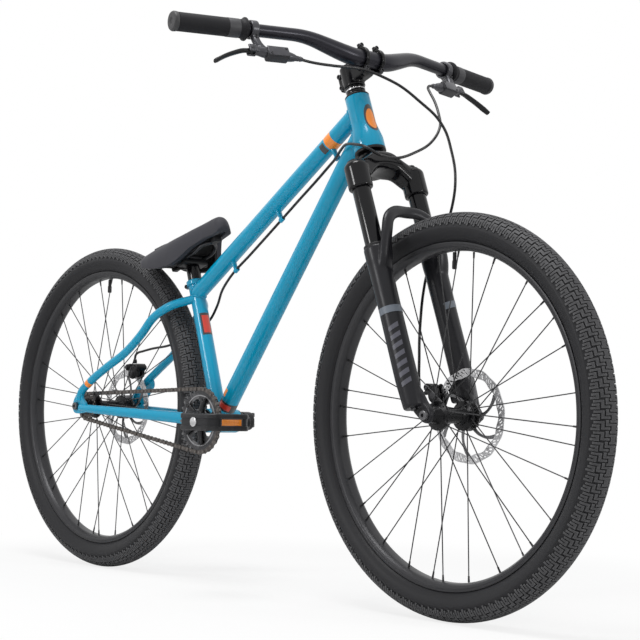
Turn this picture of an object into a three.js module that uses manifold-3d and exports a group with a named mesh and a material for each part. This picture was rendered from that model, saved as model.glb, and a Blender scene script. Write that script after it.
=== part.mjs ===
// Dirt jump bike: welded steel frame, short-travel suspension fork, single-speed drive, two disc brakes.
// Millimetres and degrees. X is forward, Y the rider's left, Z up.
// The origin is on the ground, midway between the two axles.
import * as THREE from "three";
import { mergeVertices } from "three/addons/utils/BufferGeometryUtils.js";
import Module from "manifold-3d";

const wasm = await Module();
wasm.setup();
const { Vector2, Vector3, Matrix4, Shape, Path } = THREE;

// Clearances, and an overrun that carries each cutting solid past what it cuts
const seatGap = 0.3;
const runningGap = 0.7;
const overrun = 20;
const weldDistance = 0.001;

// Counts of flat sides
const tubeSides = 12;
const smallSides = 8;
const boltSides = 6;
const spokeSides = 3;
const wheelSides = 28;
const staySides = 8;
const stayStations = 6;
const windowSteps = 4;
const tyreArcSteps = 6;
const tyreInnerSteps = 4;
const chainArcSteps = 6;
const railSteps = 22;
const railSides = 6;

// Wheels
const wheelbase = 1019;
const tyreHeight = 55.7;
const tyreWidth = 54;
const tyreWall = 4.5;
const beadAngle = 149;
const beadWidth = 3.6;
const rimSeatRadius = 279.3;
const rimShoulderRise = 5;
const rimFlangeHeight = 5.7;
const rimFlangeWall = 1.8;
const rimHalfWidth = 16.6;
const rimDepth = 8.3;
const rimNoseHalfWidth = 9;
const spokeRadius = 1;
const spokesPerFlange = 16;
const spokeSweepAngle = 50;
const flangeRadius = 25;
const flangeThickness = 4;
const spokeHoleInset = 4;
const hubBarrelRadius = 14;
const hubEndRadius = 9.5;
const axleRadius = 4.9;
const axleBoltRadius = 8;
const axleBoltHeight = 6.5;

// Disc brakes
const rotorRadius = 80;
const rotorThickness = 1.8;
const rotorTrackWidth = 15;
const rotorSpiderRadius = 24;
const rotorArms = 6;
const rotorArmShare = 0.3;
const rotorArmLagShare = 0.25;
const rotorSlotGap = 0.8;
const caliperRing = 81;
const caliperRadial = 36;
const caliperTangential = 50;
const hoseBootRadius = 4;
const hoseBootLength = 9;
const frontBootRise = 14;
const rearBootSetback = 6;
const caliperInboard = 14;
const caliperOutboard = 15;
const frontCaliperAngle = 156;
const rearCaliperAngle = 67;

// Front hub between the fork's dropouts, rear hub between the frame's
const frontHubHalf = 50;
const frontFlangeRight = 33;
const frontFlangeLeft = 26;
const frontRotorOffset = 40;
const rearHubHalf = 67.5;
const rearFlangeRight = 27;
const rearFlangeLeft = 36;
const rearRotorOffset = 52;

// Frame geometry
const bbAheadOfTyre = 60.5;
const bbDrop = 21.5;
const headAboveTyre = 222;
const headAngle = 69.7;
const headTubeLength = 105;
const headTubeRadius = 22;
const headTubeBore = 18.5;
const headFlareRadius = 28;
const headFlareFoot = 14;
const headFlareLength = 55;
const upperCupRadius = 20.5;
const lowerCupRadius = 25.5;
const cupDepth = 8;
const topTubeRadius = 15.9;
const topTubeDropAtHead = 24;
const topTubeDropAtSeat = 27.5;
const downTubeRadius = 17.45;
const downTubeAboveFoot = 43.2;
const tubeWall = 1.5;
const seatAngle = 71.5;
const seatTubeBelowTyre = 46;
const seatTubeRadius = 15;
const bbShellRadius = 23;
const bbShellBore = 20.6;
const bbShellHalf = 36.5;
const guideShares = [0.26, 0.49, 0.71];
const guideLength = 14;
const guideHalfWidth = 4;
const guideHeight = 5;

// Stays and dropouts
const stayEndRadius = 8;
const stayWall = 1.5;
const chainstayFrontHalfHeight = 12.5;
const chainstayFrontHalfWidth = 7.2;
const chainstayEndDrop = 3;
const chainstayShares = [
  [0.03, 0.4],
  [0.15, 0.5],
  [0.32, 0.59],
  [0.57, 0.79],
  [0.82, 0.96],
  [0.93, 1],
];
const seatstayRadius = 8.5;
const seatstayDrop = 36;
const seatstayShares = [
  [0, 0, 0.22],
  [0.115, 0.077, 0.58],
  [0.249, 0.181, 0.73],
  [0.348, 0.325, 0.8],
  [0.517, 0.498, 0.845],
  [0.705, 0.638, 0.93],
  [0.877, 0.778, 0.986],
  [0.97, 0.885, 1],
];
const dropoutThickness = 6;
const dropoutReach = 38;
const dropoutShares = [
  [-0.45, -0.1],
  [-0.3, -0.36],
  [0.1, -0.42],
  [0.85, -0.32],
  [0.9, 0.14],
  [0.5, 0.42],
  [0.5, 0.85],
  [0.05, 0.8],
  [-0.38, 0.3],
];
const caliperTabShares = [
  [0.2, 0.1],
  [0.9, 0.14],
  [1.9, 1.2],
  [1.75, 1.62],
  [1.05, 1.2],
  [0.5, 0.7],
];

// Seat collar, post and saddle
const collarHeight = 10;
const collarWall = 2.7;
const collarEarLength = 9;
const collarEarHalfWidth = 7;
const collarBoltRadius = 2.5;
const collarBoltLength = 22;
const collarBoltHeadRadius = 4;
const collarBoltHeadHeight = 3;
const postRadius = 13.6;
const postWall = 2.2;
const postInsertion = 139;
const postExposed = 32;
const saddleLength = 246;
const saddleForward = 7.6;
const saddleNoseShare = 0.49;
const saddleHalfWidth = 66;
const saddleRise = 47;
const saddleAboveClamp = 47.7;
const padThickness = 11;
const saddleShellWall = 3;
const shellGap = 1.2;
const railEndGap = 1.4;
const saddleHollowShare = 0.76;
const railRearLiftShare = 0.1;
const railNoseLiftShare = -0.01;
const railBlockTopShare = 0.6;
const saddleSides = 10;
const saddleRoundness = 0.6;
const saddleThinShare = 0.06;
const saddleNarrowShare = 0.2;
// Rows from the tail to the nose: place, half width, crown height and side edge height
const saddleShares = [
  [0, 0.42, 0.84, 0.7],
  [0.03, 0.72, 0.9, 0.58],
  [0.11, 0.94, 0.95, 0.1],
  [0.23, 1, 0.97, -0.2],
  [0.36, 1, 0.97, -0.42],
  [0.49, 0.95, 0.97, -0.55],
  [0.58, 0.82, 0.97, -0.42],
  [0.68, 0.61, 0.99, -0.09],
  [0.8, 0.35, 1, 0.17],
  [0.9, 0.27, 0.9, 0.24],
  [0.965, 0.21, 0.62, 0.26],
  [1, 0.08, 0.4, 0.27],
];
const railRadius = 3.5;
const railSpacingHalf = 22;
const railClampLength = 30;
const railBlockSize = 14;
const railNoseBlockWidth = 14;
const railFrontShares = [0.12, 0.27];
const railRearShares = [-0.13, -0.33];
const railThroatShares = [0.7, 0.8];
const clampHeight = 20;
const clampLength = 26;
const clampSideMargin = 5;
const clampBoltRadius = 3;
const clampNutRadius = 6;
const clampNutHeight = 5;

// Headset, stem and handlebar
const steererRadius = 14.3;
const steererWall = 2;
const upperCoverHeight = 6;
const lowerCupHeight = 5;
const spacerHeight = 13.4;
const spacerRadius = 18;
const stemClampHeight = 40;
const stemClampRadius = 20;
const stemCapHeight = 3;
const stemCapRadius = 17;
const stemCapBoltRadius = 4;
const stemCapBoltHeight = 3;
const stemSteererInset = 3;
const stemReach = 48.5;
const stemRise = 10.6;
const stemNeckHalfWidth = 14;
const stemNeckHeight = 28;
const barClampRadius = 15.9;
const barClampWall = 5;
const barClampHalf = 22.5;
const faceplateBand = 9;
const faceplateBarHeight = 5;
const faceplateSplit = 1;
const stemBoltRadius = 3;
const stemBoltHeight = 5;
const pinchBoltRadius = 3.5;
const pinchBoltLength = 34;
const pinchBoltSetback = 20;
const pinchBoltSpacing = 22;
const barRadius = 11.1;
const barWall = 2;
const barHalfWidth = 374;
const barStraightHalf = 42;
const barBendHalf = 128;
const barRise = 31;
const barPullback = 12;
const barBacksweep = 10.7;
const barUpsweep = 2;
const barTaperShares = [0.18, 0.55];
const barBendShare = 0.3;
const barStations = 8;
const gripLength = 136;
const gripRadius = 16.2;
const gripFlangeRadius = 20;
const gripFlangeWidth = 3;
const gripEndWidth = 9;
const gripEndRadius = 17;
const gripEndWall = 3;

// Brake levers, placed along the bar's end and at right angles to it
const leverClampInset = 21;
const leverClampWidth = 14;
const leverClampWall = 5;
const leverTurn = 12;
const leverDrop = 47;
const leverPivotOut = 1;
const leverCylinderRadius = 10;
const leverCylinderLength = 80;
const leverCylinderDrop = 8;
const leverNoseLength = 16;
const leverNoseRadius = 4.5;
const leverCollarRadius = 6.8;
const leverBarrelShares = [0.2, 0.75];
const leverNeckRadius = 7;
const leverEarRadius = 8;
const leverEarThickness = 4;
const leverBladeThickness = 8;
const leverKnuckleRadius = 5.5;
const leverPinRadius = 2;
const leverBladeReach = 76;
const leverBladeDrop = 33;
const leverBladeHalfWidth = 4;
const leverBladeTipRadius = 5.2;
const leverBladeShares = [
  [0.06, 0.04],
  [0.22, 0.1],
  [0.45, 0.3],
  [0.7, 0.58],
  [0.9, 0.86],
  [1, 1],
];

// Fork
const forkOffset = 38.4154;
const forkLegOffset = 21.4;
const forkLegHalf = 66;
const crownRise = 38;
const crownSocketHeight = 48;
const crownSocketRadius = 21.3;
const crownBossRadius = 26;
const crownDepth = 36;
const crownArchShares = [
  [1, 0.8],
  [0.72, 0.62],
  [0.46, 0.3],
  [0, 0.08],
];
const crownShoulderShares = [
  [1, 0],
  [0.66, 0.36],
  [0.34, 1],
];
const stanchionRadius = 16;
const stanchionWall = 2.5;
const stanchionFootGap = 5.8;
const forkTravel = 80;
const sealDrop = 108;
const lowerLegRadius = 20.6;
const lowerLegWaist = 19.7;
const lowerLegFoot = 17;
const lowerSealHeight = 25;
const lowerLegEnd = 18;
const lowerBottomWall = 25;
const archHeight = 60;
const archHalfHeight = 11;
const archHalfThickness = 7;
const archForward = 24.6;
const archShoulderForward = 30.1;
const archFootDepth = 47;
const archShares = [
  [1, -1, 0.3],
  [1, -0.53, 0.65],
  [0.97, 0, 0.85],
  [0.88, 0.37, 0.97],
  [0.74, 0.72, 1],
  [0.42, 0.95, 0.92],
  [0, 1, 0.817],
];
const forkTipThickness = 11.7;
const forkTipReach = 48;
const forkTipShares = [
  [-0.66, 0.8],
  [-0.05, 1.05],
  [0.12, 0.42],
  [0.28, 0.1],
  [0.24, -0.18],
  [0, -0.3],
  [-0.22, -0.2],
  [-0.52, 0.28],
];
const forkMountDepth = 12;
const forkMountHeight = 44;
const forkMountInner = 46;
const forkMountOuter = 62;
const capRadius = 14;
const capHeight = 4;
const knobRadius = 9;
const knobHeight = 6;

// Drive
const chainPitch = 12.7;
const chainringTeeth = 30;
const sprocketTeeth = 13;
const chainline = 48;
const toothedThickness = 2.4;
const toothRise = 3.4;
const toothRoot = 4.2;
const toothRootHalfWidth = 2.7;
const toothTipHalfWidth = 1.1;
const rollerHalf = 2.6;
const pinEvery = 3;
const chainInnerWidth = 3.4;
const chainPlateThickness = 1.8;
const chainPlateHalfHeight = 4;
const chainringHubRadius = 24;
const chainringRimDepth = 8;
const chainringArms = 5;
const chainringArmShare = 0.26;
const driverRadius = 17;
const driverInner = 36;
const crankLength = 170;
const spindleRadius = 12;
const cupFlangeRadius = 22;
const crankBossRadius = 18;
const crankBossInner = 50;
const crankBossOuter = 72;
const crankArmHalfThickness = 6.5;
const crankArmHalfHeight = 15;
const crankEyeHalfHeight = 11.5;
const crankEyeRadius = 13;
const crankEyeInner = 69;
const crankEyeOuter = 84;
const crankArmShares = [
  [0.04, 0.5],
  [0.3, 0.8],
  [0.65, 1],
  [0.97, 1],
];
const pedalAxleRadius = 6.5;
const pedalInner = 95;
const pedalOuter = 191;
const pedalEndWall = 3;
const pedalHalfLength = 50;
const pedalThickness = 30;
const pedalCorner = 12;
const pedalTubeRadius = 12.5;
const pedalRail = 11;
const pedalCapRadius = 9;

// Brake hoses, whose points are chosen by hand along their real routes
const hoseRadius = 2.5;
const hoseSides = 7;
const frontHoseSteps = 48;
const rearHoseSteps = 64;
const hoseStartInset = 219.7;
// Near the bar: ahead of the head's top, share of the way out to the lever's nose, above the head's top
const frontHoseAtBar = [
  [31.4, 1, 39.7],
  [33.1, 0.943, 38.6],
  [34.5, 0.8036, 38],
  [38.5, 0.5962, 38.5],
  [51.5, 0.1944, 39],
];
const rearHoseAtBar = [
  [31.4, 1, 39.7],
  [33.3, 0.941, 38.2],
  [38, 0.8911, 33],
  [46.5, 0.8684, 23.5],
  [60.5, 0.849, 7],
  [84.5, 0.7777, -24],
  [100.5, 0.6999, -45],
  [108.5, 0.5962, -66],
  [108.5, 0.4666, -86],
];
// From the head's top: forward, left, up
const frontHoseAtHead = [
  [65.5, 5, 28],
  [77.5, 30, 16],
  [95.5, 62, -10],
  [115.5, 84, -37],
  [127.5, 93, -60],
  [139.5, 97, -96],
  [147.5, 99, -132],
  [148.5, 99, -159],
  [142.5, 99, -192],
  [127.5, 98, -232],
  [109.5, 92, -272],
  [103.5, 80, -307],
];
const rearHoseAtHead = [
  [103.5, 45, -102],
  [96.5, 15, -114],
  [93.5, -10, -116],
  [89.5, -31, -112],
  [74.5, -46, -100],
  [43.5, -44, -92],
  [9.5, -34, -88],
  [-18.5, -21, -94],
  [-44.5, -9, -104],
  [-70.5, -1, -114],
];
// Along the top tube from the head: share of its length, and how far below its line
const rearHoseAtTopTube = [
  [0.2757, 33.0093],
  [0.3866, 32.8112],
  [0.5025, 33.1838],
  [0.6778, 33.1926],
  [0.8145, 33.0773],
];
// From the top tube's rear end, and from each caliper's centre: forward, left, up
const rearHoseAtSeat = [
  [68.9752, 8, 4.5134],
  [36.9752, 22, -21.4866],
  [-8.0248, 36, -51.4866],
];
const frontHoseAtCaliper = [
  [-65.5028, 66, 177.0543],
  [-56.5028, 52, 132.0543],
  [-49.5028, 43, 92.0543],
  [-47.0028, 41, 62.0543],
  [-46.0028, 40, 38.0543],
  [-44.9028, 40, 20.0543],
  [-43.1028, 40, 9.0543],
  [-39.6028, 40, 3.0543],
  [-35.3028, 40, 1.9543],
  [-30.6028, 40, 3.6543],
];
const rearHoseAtCaliper = [
  [204.8508, 42, 74.4391],
  [122.8508, 47, 54.4391],
  [57.8508, 50, 48.4391],
  [21.8508, 51.5, 43.4391],
  [3.8508, 52, 40.4391],
  [-3.6492, 52, 36.6391],
  [-6.0492, 52, 31.9391],
  [-6.0492, 52, 27.4391],
];

const fullTurn = Math.PI * 2;
const quarterTurn = Math.PI / 2;
const radians = (degrees) => (degrees * Math.PI) / 180;
const lerp = THREE.MathUtils.lerp;
const upward = new Vector3(0, 0, 1);
const forward = new Vector3(1, 0, 0);
const leftward = new Vector3(0, 1, 0);

// The wheel's size sets the fork's length and the frame's room round the rear tyre
const tyreRadius = rimSeatRadius + tyreHeight;
const rimInnerRadius = rimSeatRadius - rimDepth;
const seatTubeLength = tyreRadius - seatTubeBelowTyre;

// The radius of a bore whose flat sides clear a round piece
const around = (radius, sides) => (radius + seatGap) / Math.cos(Math.PI / sides);

// A geometry as a solid with its faces outwards, and a solid as a geometry
function solid(geometry) {
  const bare = geometry.clone();
  bare.deleteAttribute("normal");
  bare.deleteAttribute("uv");
  const merged = mergeVertices(bare, weldDistance);
  const vertProperties = merged.attributes.position.array;
  const triVerts = new Uint32Array(merged.index.array);
  const made = new wasm.Manifold(new wasm.Mesh({ numProp: 3, vertProperties, triVerts }));
  if (made.volume() > 0) return made;
  triVerts.reverse();
  return new wasm.Manifold(new wasm.Mesh({ numProp: 3, vertProperties, triVerts }));
}

function geometryOf(shape) {
  const mesh = shape.getMesh();
  const geometry = new THREE.BufferGeometry();
  geometry.setAttribute("position", new THREE.BufferAttribute(mesh.vertProperties, 3));
  geometry.setIndex(new THREE.BufferAttribute(mesh.triVerts, 1));
  return geometry;
}

const facingOut = (geometry) => geometryOf(solid(geometry));

function join(first, ...others) {
  return geometryOf(others.reduce((sum, other) => sum.add(solid(other)), solid(first)));
}

function cut(base, ...tools) {
  return geometryOf(tools.reduce((rest, tool) => rest.subtract(solid(tool)), solid(base)));
}

const mirrored = (geometry) => facingOut(geometry.clone().scale(1, -1, 1));

// A profile of [radius, place] pairs turned round the Y axis, or round the Z axis
function turned(profile, sides) {
  const points = profile.map(([radius, place]) => new Vector2(radius, place));
  return facingOut(new THREE.LatheGeometry(points, sides));
}

const turnedUp = (profile, sides) => turned(profile, sides).rotateX(quarterTurn);

const rod = (radius, low, high, sides) =>
  turnedUp([[0, low], [radius, low], [radius, high], [0, high]], sides);

const pipe = (radius, bore, low, high, sides) =>
  turnedUp([[bore, low], [radius, low], [radius, high], [bore, high], [bore, low]], sides);

const crossRod = (radius, low, high, sides) =>
  turned([[0, low], [radius, low], [radius, high], [0, high]], sides);

const crossPipe = (radius, bore, low, high, sides) =>
  turned([[bore, low], [radius, low], [radius, high], [bore, high], [bore, low]], sides);

const box = (width, depth, height) => new THREE.BoxGeometry(width, depth, height);

// A geometry that stands on the origin along Z, set at one point and aimed at another
function aimed(geometry, from, to) {
  const direction = to.clone().sub(from).normalize();
  const turn = new THREE.Quaternion().setFromUnitVectors(upward, direction);
  return geometry.clone().applyQuaternion(turn).translate(from.x, from.y, from.z);
}

// An outline in the X and Z plane, given a thickness along Y from one side
function slab(shape, low, high) {
  const options = { depth: high - low, bevelEnabled: false, curveSegments: chainArcSteps };
  const flat = new THREE.ExtrudeGeometry(shape, options);
  return facingOut(flat.rotateX(quarterTurn).translate(0, high, 0));
}

const outline = (pairs) => new Shape(pairs.map(([x, y]) => new Vector2(x, y)));

const arcPoints = (radius, from, to, steps) =>
  Array.from({ length: steps + 1 }, (_, i) => {
    const angle = lerp(from, to, i / steps);
    return new Vector2(Math.cos(angle) * radius, Math.sin(angle) * radius);
  });

const circlePoints = (radius, sides) => arcPoints(radius, 0, fullTurn, sides).slice(1);

// A closed skin through rings of points, ends filled, or the last ring joined to the first
function skin(rings, filled) {
  const count = rings[0].length;
  const positions = rings.flat().flatMap((point) => point.toArray());
  const faces = [];
  const bands = filled ? rings.length - 1 : rings.length;
  for (let band = 0; band < bands; band += 1) {
    const low = band * count;
    const high = ((band + 1) % rings.length) * count;
    for (let i = 0; i < count; i += 1) {
      const next = (i + 1) % count;
      faces.push(low + i, low + next, high + i, low + next, high + next, high + i);
    }
  }
  const last = (rings.length - 1) * count;
  for (let i = 1; filled && i < count - 1; i += 1) {
    faces.push(0, i + 1, i, last, last + i, last + i + 1);
  }
  const geometry = new THREE.BufferGeometry();
  geometry.setAttribute("position", new THREE.Float32BufferAttribute(positions, 3));
  geometry.setIndex(faces);
  return facingOut(geometry);
}

// An oval section carried through stations, each with its place, half width and half height
function sweep(stations, sides, wall = 0, reference = upward) {
  const last = stations.length - 1;
  const ringsInside = (inset) =>
    stations.map((station, i) => {
      const before = stations[Math.max(i - 1, 0)].at;
      const after = stations[Math.min(i + 1, last)].at;
      const along = after.clone().sub(before).normalize();
      const side = new Vector3().crossVectors(reference, along).normalize();
      const rise = new Vector3().crossVectors(along, side);
      return Array.from({ length: sides }, (_, j) => {
        const angle = (fullTurn * (j + 0.5)) / sides;
        const point = station.at.clone();
        point.addScaledVector(side, Math.cos(angle) * (station.wide - inset));
        return point.addScaledVector(rise, Math.sin(angle) * (station.tall - inset));
      });
    });
  if (wall === 0) return skin(ringsInside(0), true);
  return skin([...ringsInside(0), ...ringsInside(wall).reverse()], false);
}

// Assembly of named pieces
const bike = new THREE.Group();

function addPiece(parent, name, geometry, finish) {
  const mesh = new THREE.Mesh(geometry, new THREE.MeshStandardMaterial(finish));
  mesh.name = name;
  parent.add(mesh);
  return mesh;
}

const bluePaint = { color: 0x0092c4, roughness: 0.25, metalness: 0.1 };
const glossBlack = { color: 0x101114, roughness: 0.2, metalness: 0.2 };
const satinBlack = { color: 0x1b1c20, roughness: 0.5, metalness: 0.3 };
const satinCharcoal = { color: 0x2c2d33, roughness: 0.45, metalness: 0.3 };
const darkGrey = { color: 0x3c3d42, roughness: 0.45, metalness: 0.5 };
const brightSteel = { color: 0xb8bac0, roughness: 0.3, metalness: 1 };
const chainSteel = { color: 0x4a4644, roughness: 0.45, metalness: 0.9 };
const tyreRubber = { color: 0x1f1f22, roughness: 0.85, metalness: 0 };
const gripRubber = { color: 0x232428, roughness: 0.8, metalness: 0 };
const resin = { color: 0x2a2b2f, roughness: 0.6, metalness: 0 };
const saddleCover = { color: 0x3a3a40, roughness: 0.75, metalness: 0 };

// Main points of the frame
const frontAxle = new Vector3(wheelbase / 2, 0, tyreRadius);
const rearAxle = new Vector3(-wheelbase / 2, 0, tyreRadius);
const steeringTilt = radians(90 - headAngle);
const bb = new Vector3(rearAxle.x + tyreRadius + bbAheadOfTyre, 0, rearAxle.z - bbDrop);
const headRise = tyreRadius + headAboveTyre;
const forkLength = (headRise + forkOffset * Math.sin(steeringTilt)) / Math.cos(steeringTilt);
const forkRun = forkOffset * Math.cos(steeringTilt) + forkLength * Math.sin(steeringTilt);
const headTop = new Vector3(frontAxle.x - forkRun, 0, frontAxle.z + headRise);
const seatTilt = radians(90 - seatAngle);

const steering = new THREE.Group();
steering.position.copy(headTop);
steering.rotation.y = -steeringTilt;
steering.updateMatrix();
const seatLine = new THREE.Group();
seatLine.position.copy(bb);
seatLine.rotation.y = -seatTilt;
seatLine.updateMatrix();
const rearWheel = new THREE.Group();
rearWheel.position.copy(rearAxle);
const crankset = new THREE.Group();
crankset.position.copy(bb);
bike.add(steering, seatLine, rearWheel, crankset);

const onSteering = (geometry) => geometry.clone().applyMatrix4(steering.matrix);
const onSeatLine = (geometry) => geometry.clone().applyMatrix4(seatLine.matrix);
const fromSteering = steering.matrix.clone().invert();
const steeringPoint = (forward, side, rise) => new Vector3(forward, side, rise).applyMatrix4(steering.matrix);
const seatPoint = (forward, side, rise) => new Vector3(forward, side, rise).applyMatrix4(seatLine.matrix);

// Head tube: straight at the top, flared to its larger lower bearing
const flareTop = -headTubeLength + headFlareLength;
const flareFoot = -headTubeLength + headFlareFoot;
const headTube = turnedUp(
  [
    [headTubeBore, -headTubeLength + cupDepth],
    [lowerCupRadius, -headTubeLength + cupDepth],
    [lowerCupRadius, -headTubeLength],
    [headFlareRadius, -headTubeLength],
    [headFlareRadius, flareFoot],
    [headTubeRadius, flareTop],
    [headTubeRadius, 0],
    [upperCupRadius, 0],
    [upperCupRadius, -cupDepth],
    [headTubeBore, -cupDepth],
    [headTubeBore, -headTubeLength + cupDepth],
  ],
  tubeSides,
);
addPiece(steering, "head_tube", headTube, bluePaint);
const headEnvelope = onSteering(
  turnedUp(
    [
      [0, -headTubeLength],
      [headFlareRadius + seatGap, -headTubeLength],
      [headFlareRadius + seatGap, flareFoot],
      [headTubeRadius + seatGap, flareTop],
      [headTubeRadius + seatGap, 0],
      [0, 0],
    ],
    tubeSides,
  ),
);

// Seat tube, its collar and the bottom bracket shell
const bbReach = bbShellHalf + overrun;
const bbEnvelope = crossRod(bbShellRadius + seatGap, -bbReach, bbReach, tubeSides);
bbEnvelope.translate(bb.x, bb.y, bb.z);
const seatTube = cut(
  onSeatLine(pipe(seatTubeRadius, postRadius + seatGap, 0, seatTubeLength, tubeSides)),
  bbEnvelope,
);
addPiece(bike, "seat_tube", seatTube, bluePaint);
const seatTubeEnvelope = onSeatLine(rod(seatTubeRadius + seatGap, -overrun, seatTubeLength, tubeSides));
const collarOuter = seatTubeRadius + seatGap + collarWall;
const collarLow = seatTubeLength - collarHeight;
const collarMiddle = seatTubeLength - collarHeight / 2;
const collarEnvelope = onSeatLine(rod(collarOuter + seatGap, collarLow - seatGap, seatTubeLength, tubeSides));

function seatCollar() {
  const ring = pipe(collarOuter, seatTubeRadius + seatGap, collarLow, seatTubeLength, tubeSides);
  const ears = box(collarEarLength, collarEarHalfWidth * 2, collarHeight);
  const boltHalf = collarBoltLength / 2;
  const bolt = crossRod(collarBoltRadius, -boltHalf, boltHalf, boltSides);
  const headLow = -boltHalf - collarBoltHeadHeight;
  const head = crossRod(collarBoltHeadRadius, headLow, -boltHalf, boltSides);
  const earReach = collarOuter - collarWall + collarEarLength / 2;
  const onEars = (piece) => piece.translate(-earReach, 0, collarMiddle);
  const tubeHole = rod(seatTubeRadius + seatGap, 0, seatTubeLength * 2, tubeSides);
  return join(cut(join(ring, onEars(ears)), tubeHole), onEars(bolt), onEars(head));
}
addPiece(seatLine, "seat_collar", seatCollar(), bluePaint);
addPiece(
  crankset,
  "bb_shell",
  crossPipe(bbShellRadius, bbShellBore, -bbShellHalf, bbShellHalf, tubeSides),
  bluePaint,
);

// Top tube with its hose guides, and down tube
const topTubeFront = steeringPoint(0, 0, -topTubeDropAtHead);
const topTubeRear = seatPoint(0, 0, seatTubeLength - topTubeDropAtSeat);
const topTubeLength = topTubeFront.distanceTo(topTubeRear);
const topTubeLine = (geometry) => aimed(geometry, topTubeRear, topTubeFront);
const topTubeBare = cut(
  topTubeLine(pipe(topTubeRadius, topTubeRadius - tubeWall, 0, topTubeLength, tubeSides)),
  headEnvelope,
  seatTubeEnvelope,
  collarEnvelope,
);
const hoseGuides = guideShares.map((share) => {
  const guide = box(guideHeight + tubeWall, guideHalfWidth * 2, guideLength);
  const depth = topTubeRadius + (guideHeight - tubeWall) / 2;
  return topTubeLine(guide.translate(depth, 0, topTubeLength * (1 - share)));
});
addPiece(bike, "top_tube", join(topTubeBare, ...hoseGuides), bluePaint);
const topTubeEnvelope = topTubeLine(rod(topTubeRadius + seatGap, 0, topTubeLength, tubeSides));

const downTubeTop = steeringPoint(0, 0, downTubeAboveFoot - headTubeLength);
const downTubeLength = downTubeTop.distanceTo(bb);
const downTube = cut(
  aimed(pipe(downTubeRadius, downTubeRadius - tubeWall, 0, downTubeLength, tubeSides), bb, downTubeTop),
  headEnvelope,
  topTubeEnvelope,
  bbEnvelope,
  seatTubeEnvelope,
);
addPiece(bike, "down_tube", downTube, bluePaint);

// Dropouts: plates outside the rear hub, the left one with the caliper's tab
const dropoutInner = rearHubHalf + seatGap;
const dropoutOuter = dropoutInner + dropoutThickness;
const stayEndSide = (dropoutInner + dropoutOuter) / 2;

function dropoutPlate(shares, margin) {
  const shape = outline(shares.map(([x, z]) => [x * dropoutReach, z * dropoutReach]));
  const plate = slab(shape, dropoutInner - margin, dropoutOuter + margin);
  return plate.translate(rearAxle.x, 0, rearAxle.z);
}

// Stays: hollow tubes curved round the tyre, slotted onto the dropout plates
function stayTube(points, radiiAt) {
  const curve = new THREE.CatmullRomCurve3(points);
  const stations = Array.from({ length: stayStations }, (_, i) => {
    const share = i / (stayStations - 1);
    return { at: curve.getPointAt(share), ...radiiAt(share) };
  });
  return { tube: sweep(stations, staySides, stayWall), stations };
}

const widened = (stations, margin) =>
  stations.map(({ at, wide, tall }) => ({ at, wide: wide + margin, tall: tall + margin }));

const chainstay = stayTube(
  chainstayShares.map(([along, out]) => {
    const height = lerp(bb.z, rearAxle.z - chainstayEndDrop, along);
    return new Vector3(lerp(bb.x, rearAxle.x, along), stayEndSide * out, height);
  }),
  (share) => ({
    wide: lerp(chainstayFrontHalfWidth, stayEndRadius, share),
    tall: lerp(chainstayFrontHalfHeight, stayEndRadius, share),
  }),
);
const seatstayTop = seatPoint(0, 0, seatTubeLength - seatstayDrop);
const seatstay = stayTube(
  seatstayShares.map(([back, down, out]) => {
    const height = lerp(seatstayTop.z, rearAxle.z, down);
    return new Vector3(lerp(seatstayTop.x, rearAxle.x, back), stayEndSide * out, height);
  }),
  (share) => ({
    wide: lerp(seatstayRadius, stayEndRadius, share),
    tall: lerp(seatstayRadius, stayEndRadius, share),
  }),
);
const plainDropout = dropoutPlate(dropoutShares, 0);
const dropoutEnvelope = dropoutPlate(dropoutShares, seatGap);
const seatstayEnvelope = sweep(widened(seatstay.stations, seatGap), staySides);
const chainstayEnvelope = sweep(widened(chainstay.stations, seatGap), staySides);
const axleHole = crossRod(axleRadius + seatGap, 0, dropoutOuter + overrun, smallSides);
axleHole.translate(rearAxle.x, 0, rearAxle.z);
const caliperTab = cut(dropoutPlate(caliperTabShares, 0), seatstayEnvelope, chainstayEnvelope);
const chainstayLeft = cut(chainstay.tube, bbEnvelope, seatTubeEnvelope, dropoutEnvelope);
const seatstayLeft = cut(seatstay.tube, seatTubeEnvelope, dropoutEnvelope, chainstayEnvelope);
addPiece(bike, "chainstay_left", chainstayLeft, bluePaint);
addPiece(bike, "chainstay_right", mirrored(chainstayLeft), bluePaint);
addPiece(bike, "seatstay_left", seatstayLeft, bluePaint);
addPiece(bike, "seatstay_right", mirrored(seatstayLeft), bluePaint);
addPiece(bike, "dropout_left", cut(join(plainDropout, caliperTab), axleHole), bluePaint);
addPiece(bike, "dropout_right", mirrored(cut(plainDropout, axleHole)), bluePaint);

// Seat post and the clamp that holds the saddle's rails
const clampLow = seatTubeLength + postExposed;
const clampMiddle = clampLow + clampHeight / 2;
const postLow = seatTubeLength - postInsertion;
addPiece(
  seatLine,
  "seat_post",
  pipe(postRadius, postRadius - postWall, postLow, clampLow - seatGap, tubeSides),
  glossBlack,
);

const railHeight = clampLow + clampHeight - railRadius - clampSideMargin;

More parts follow.
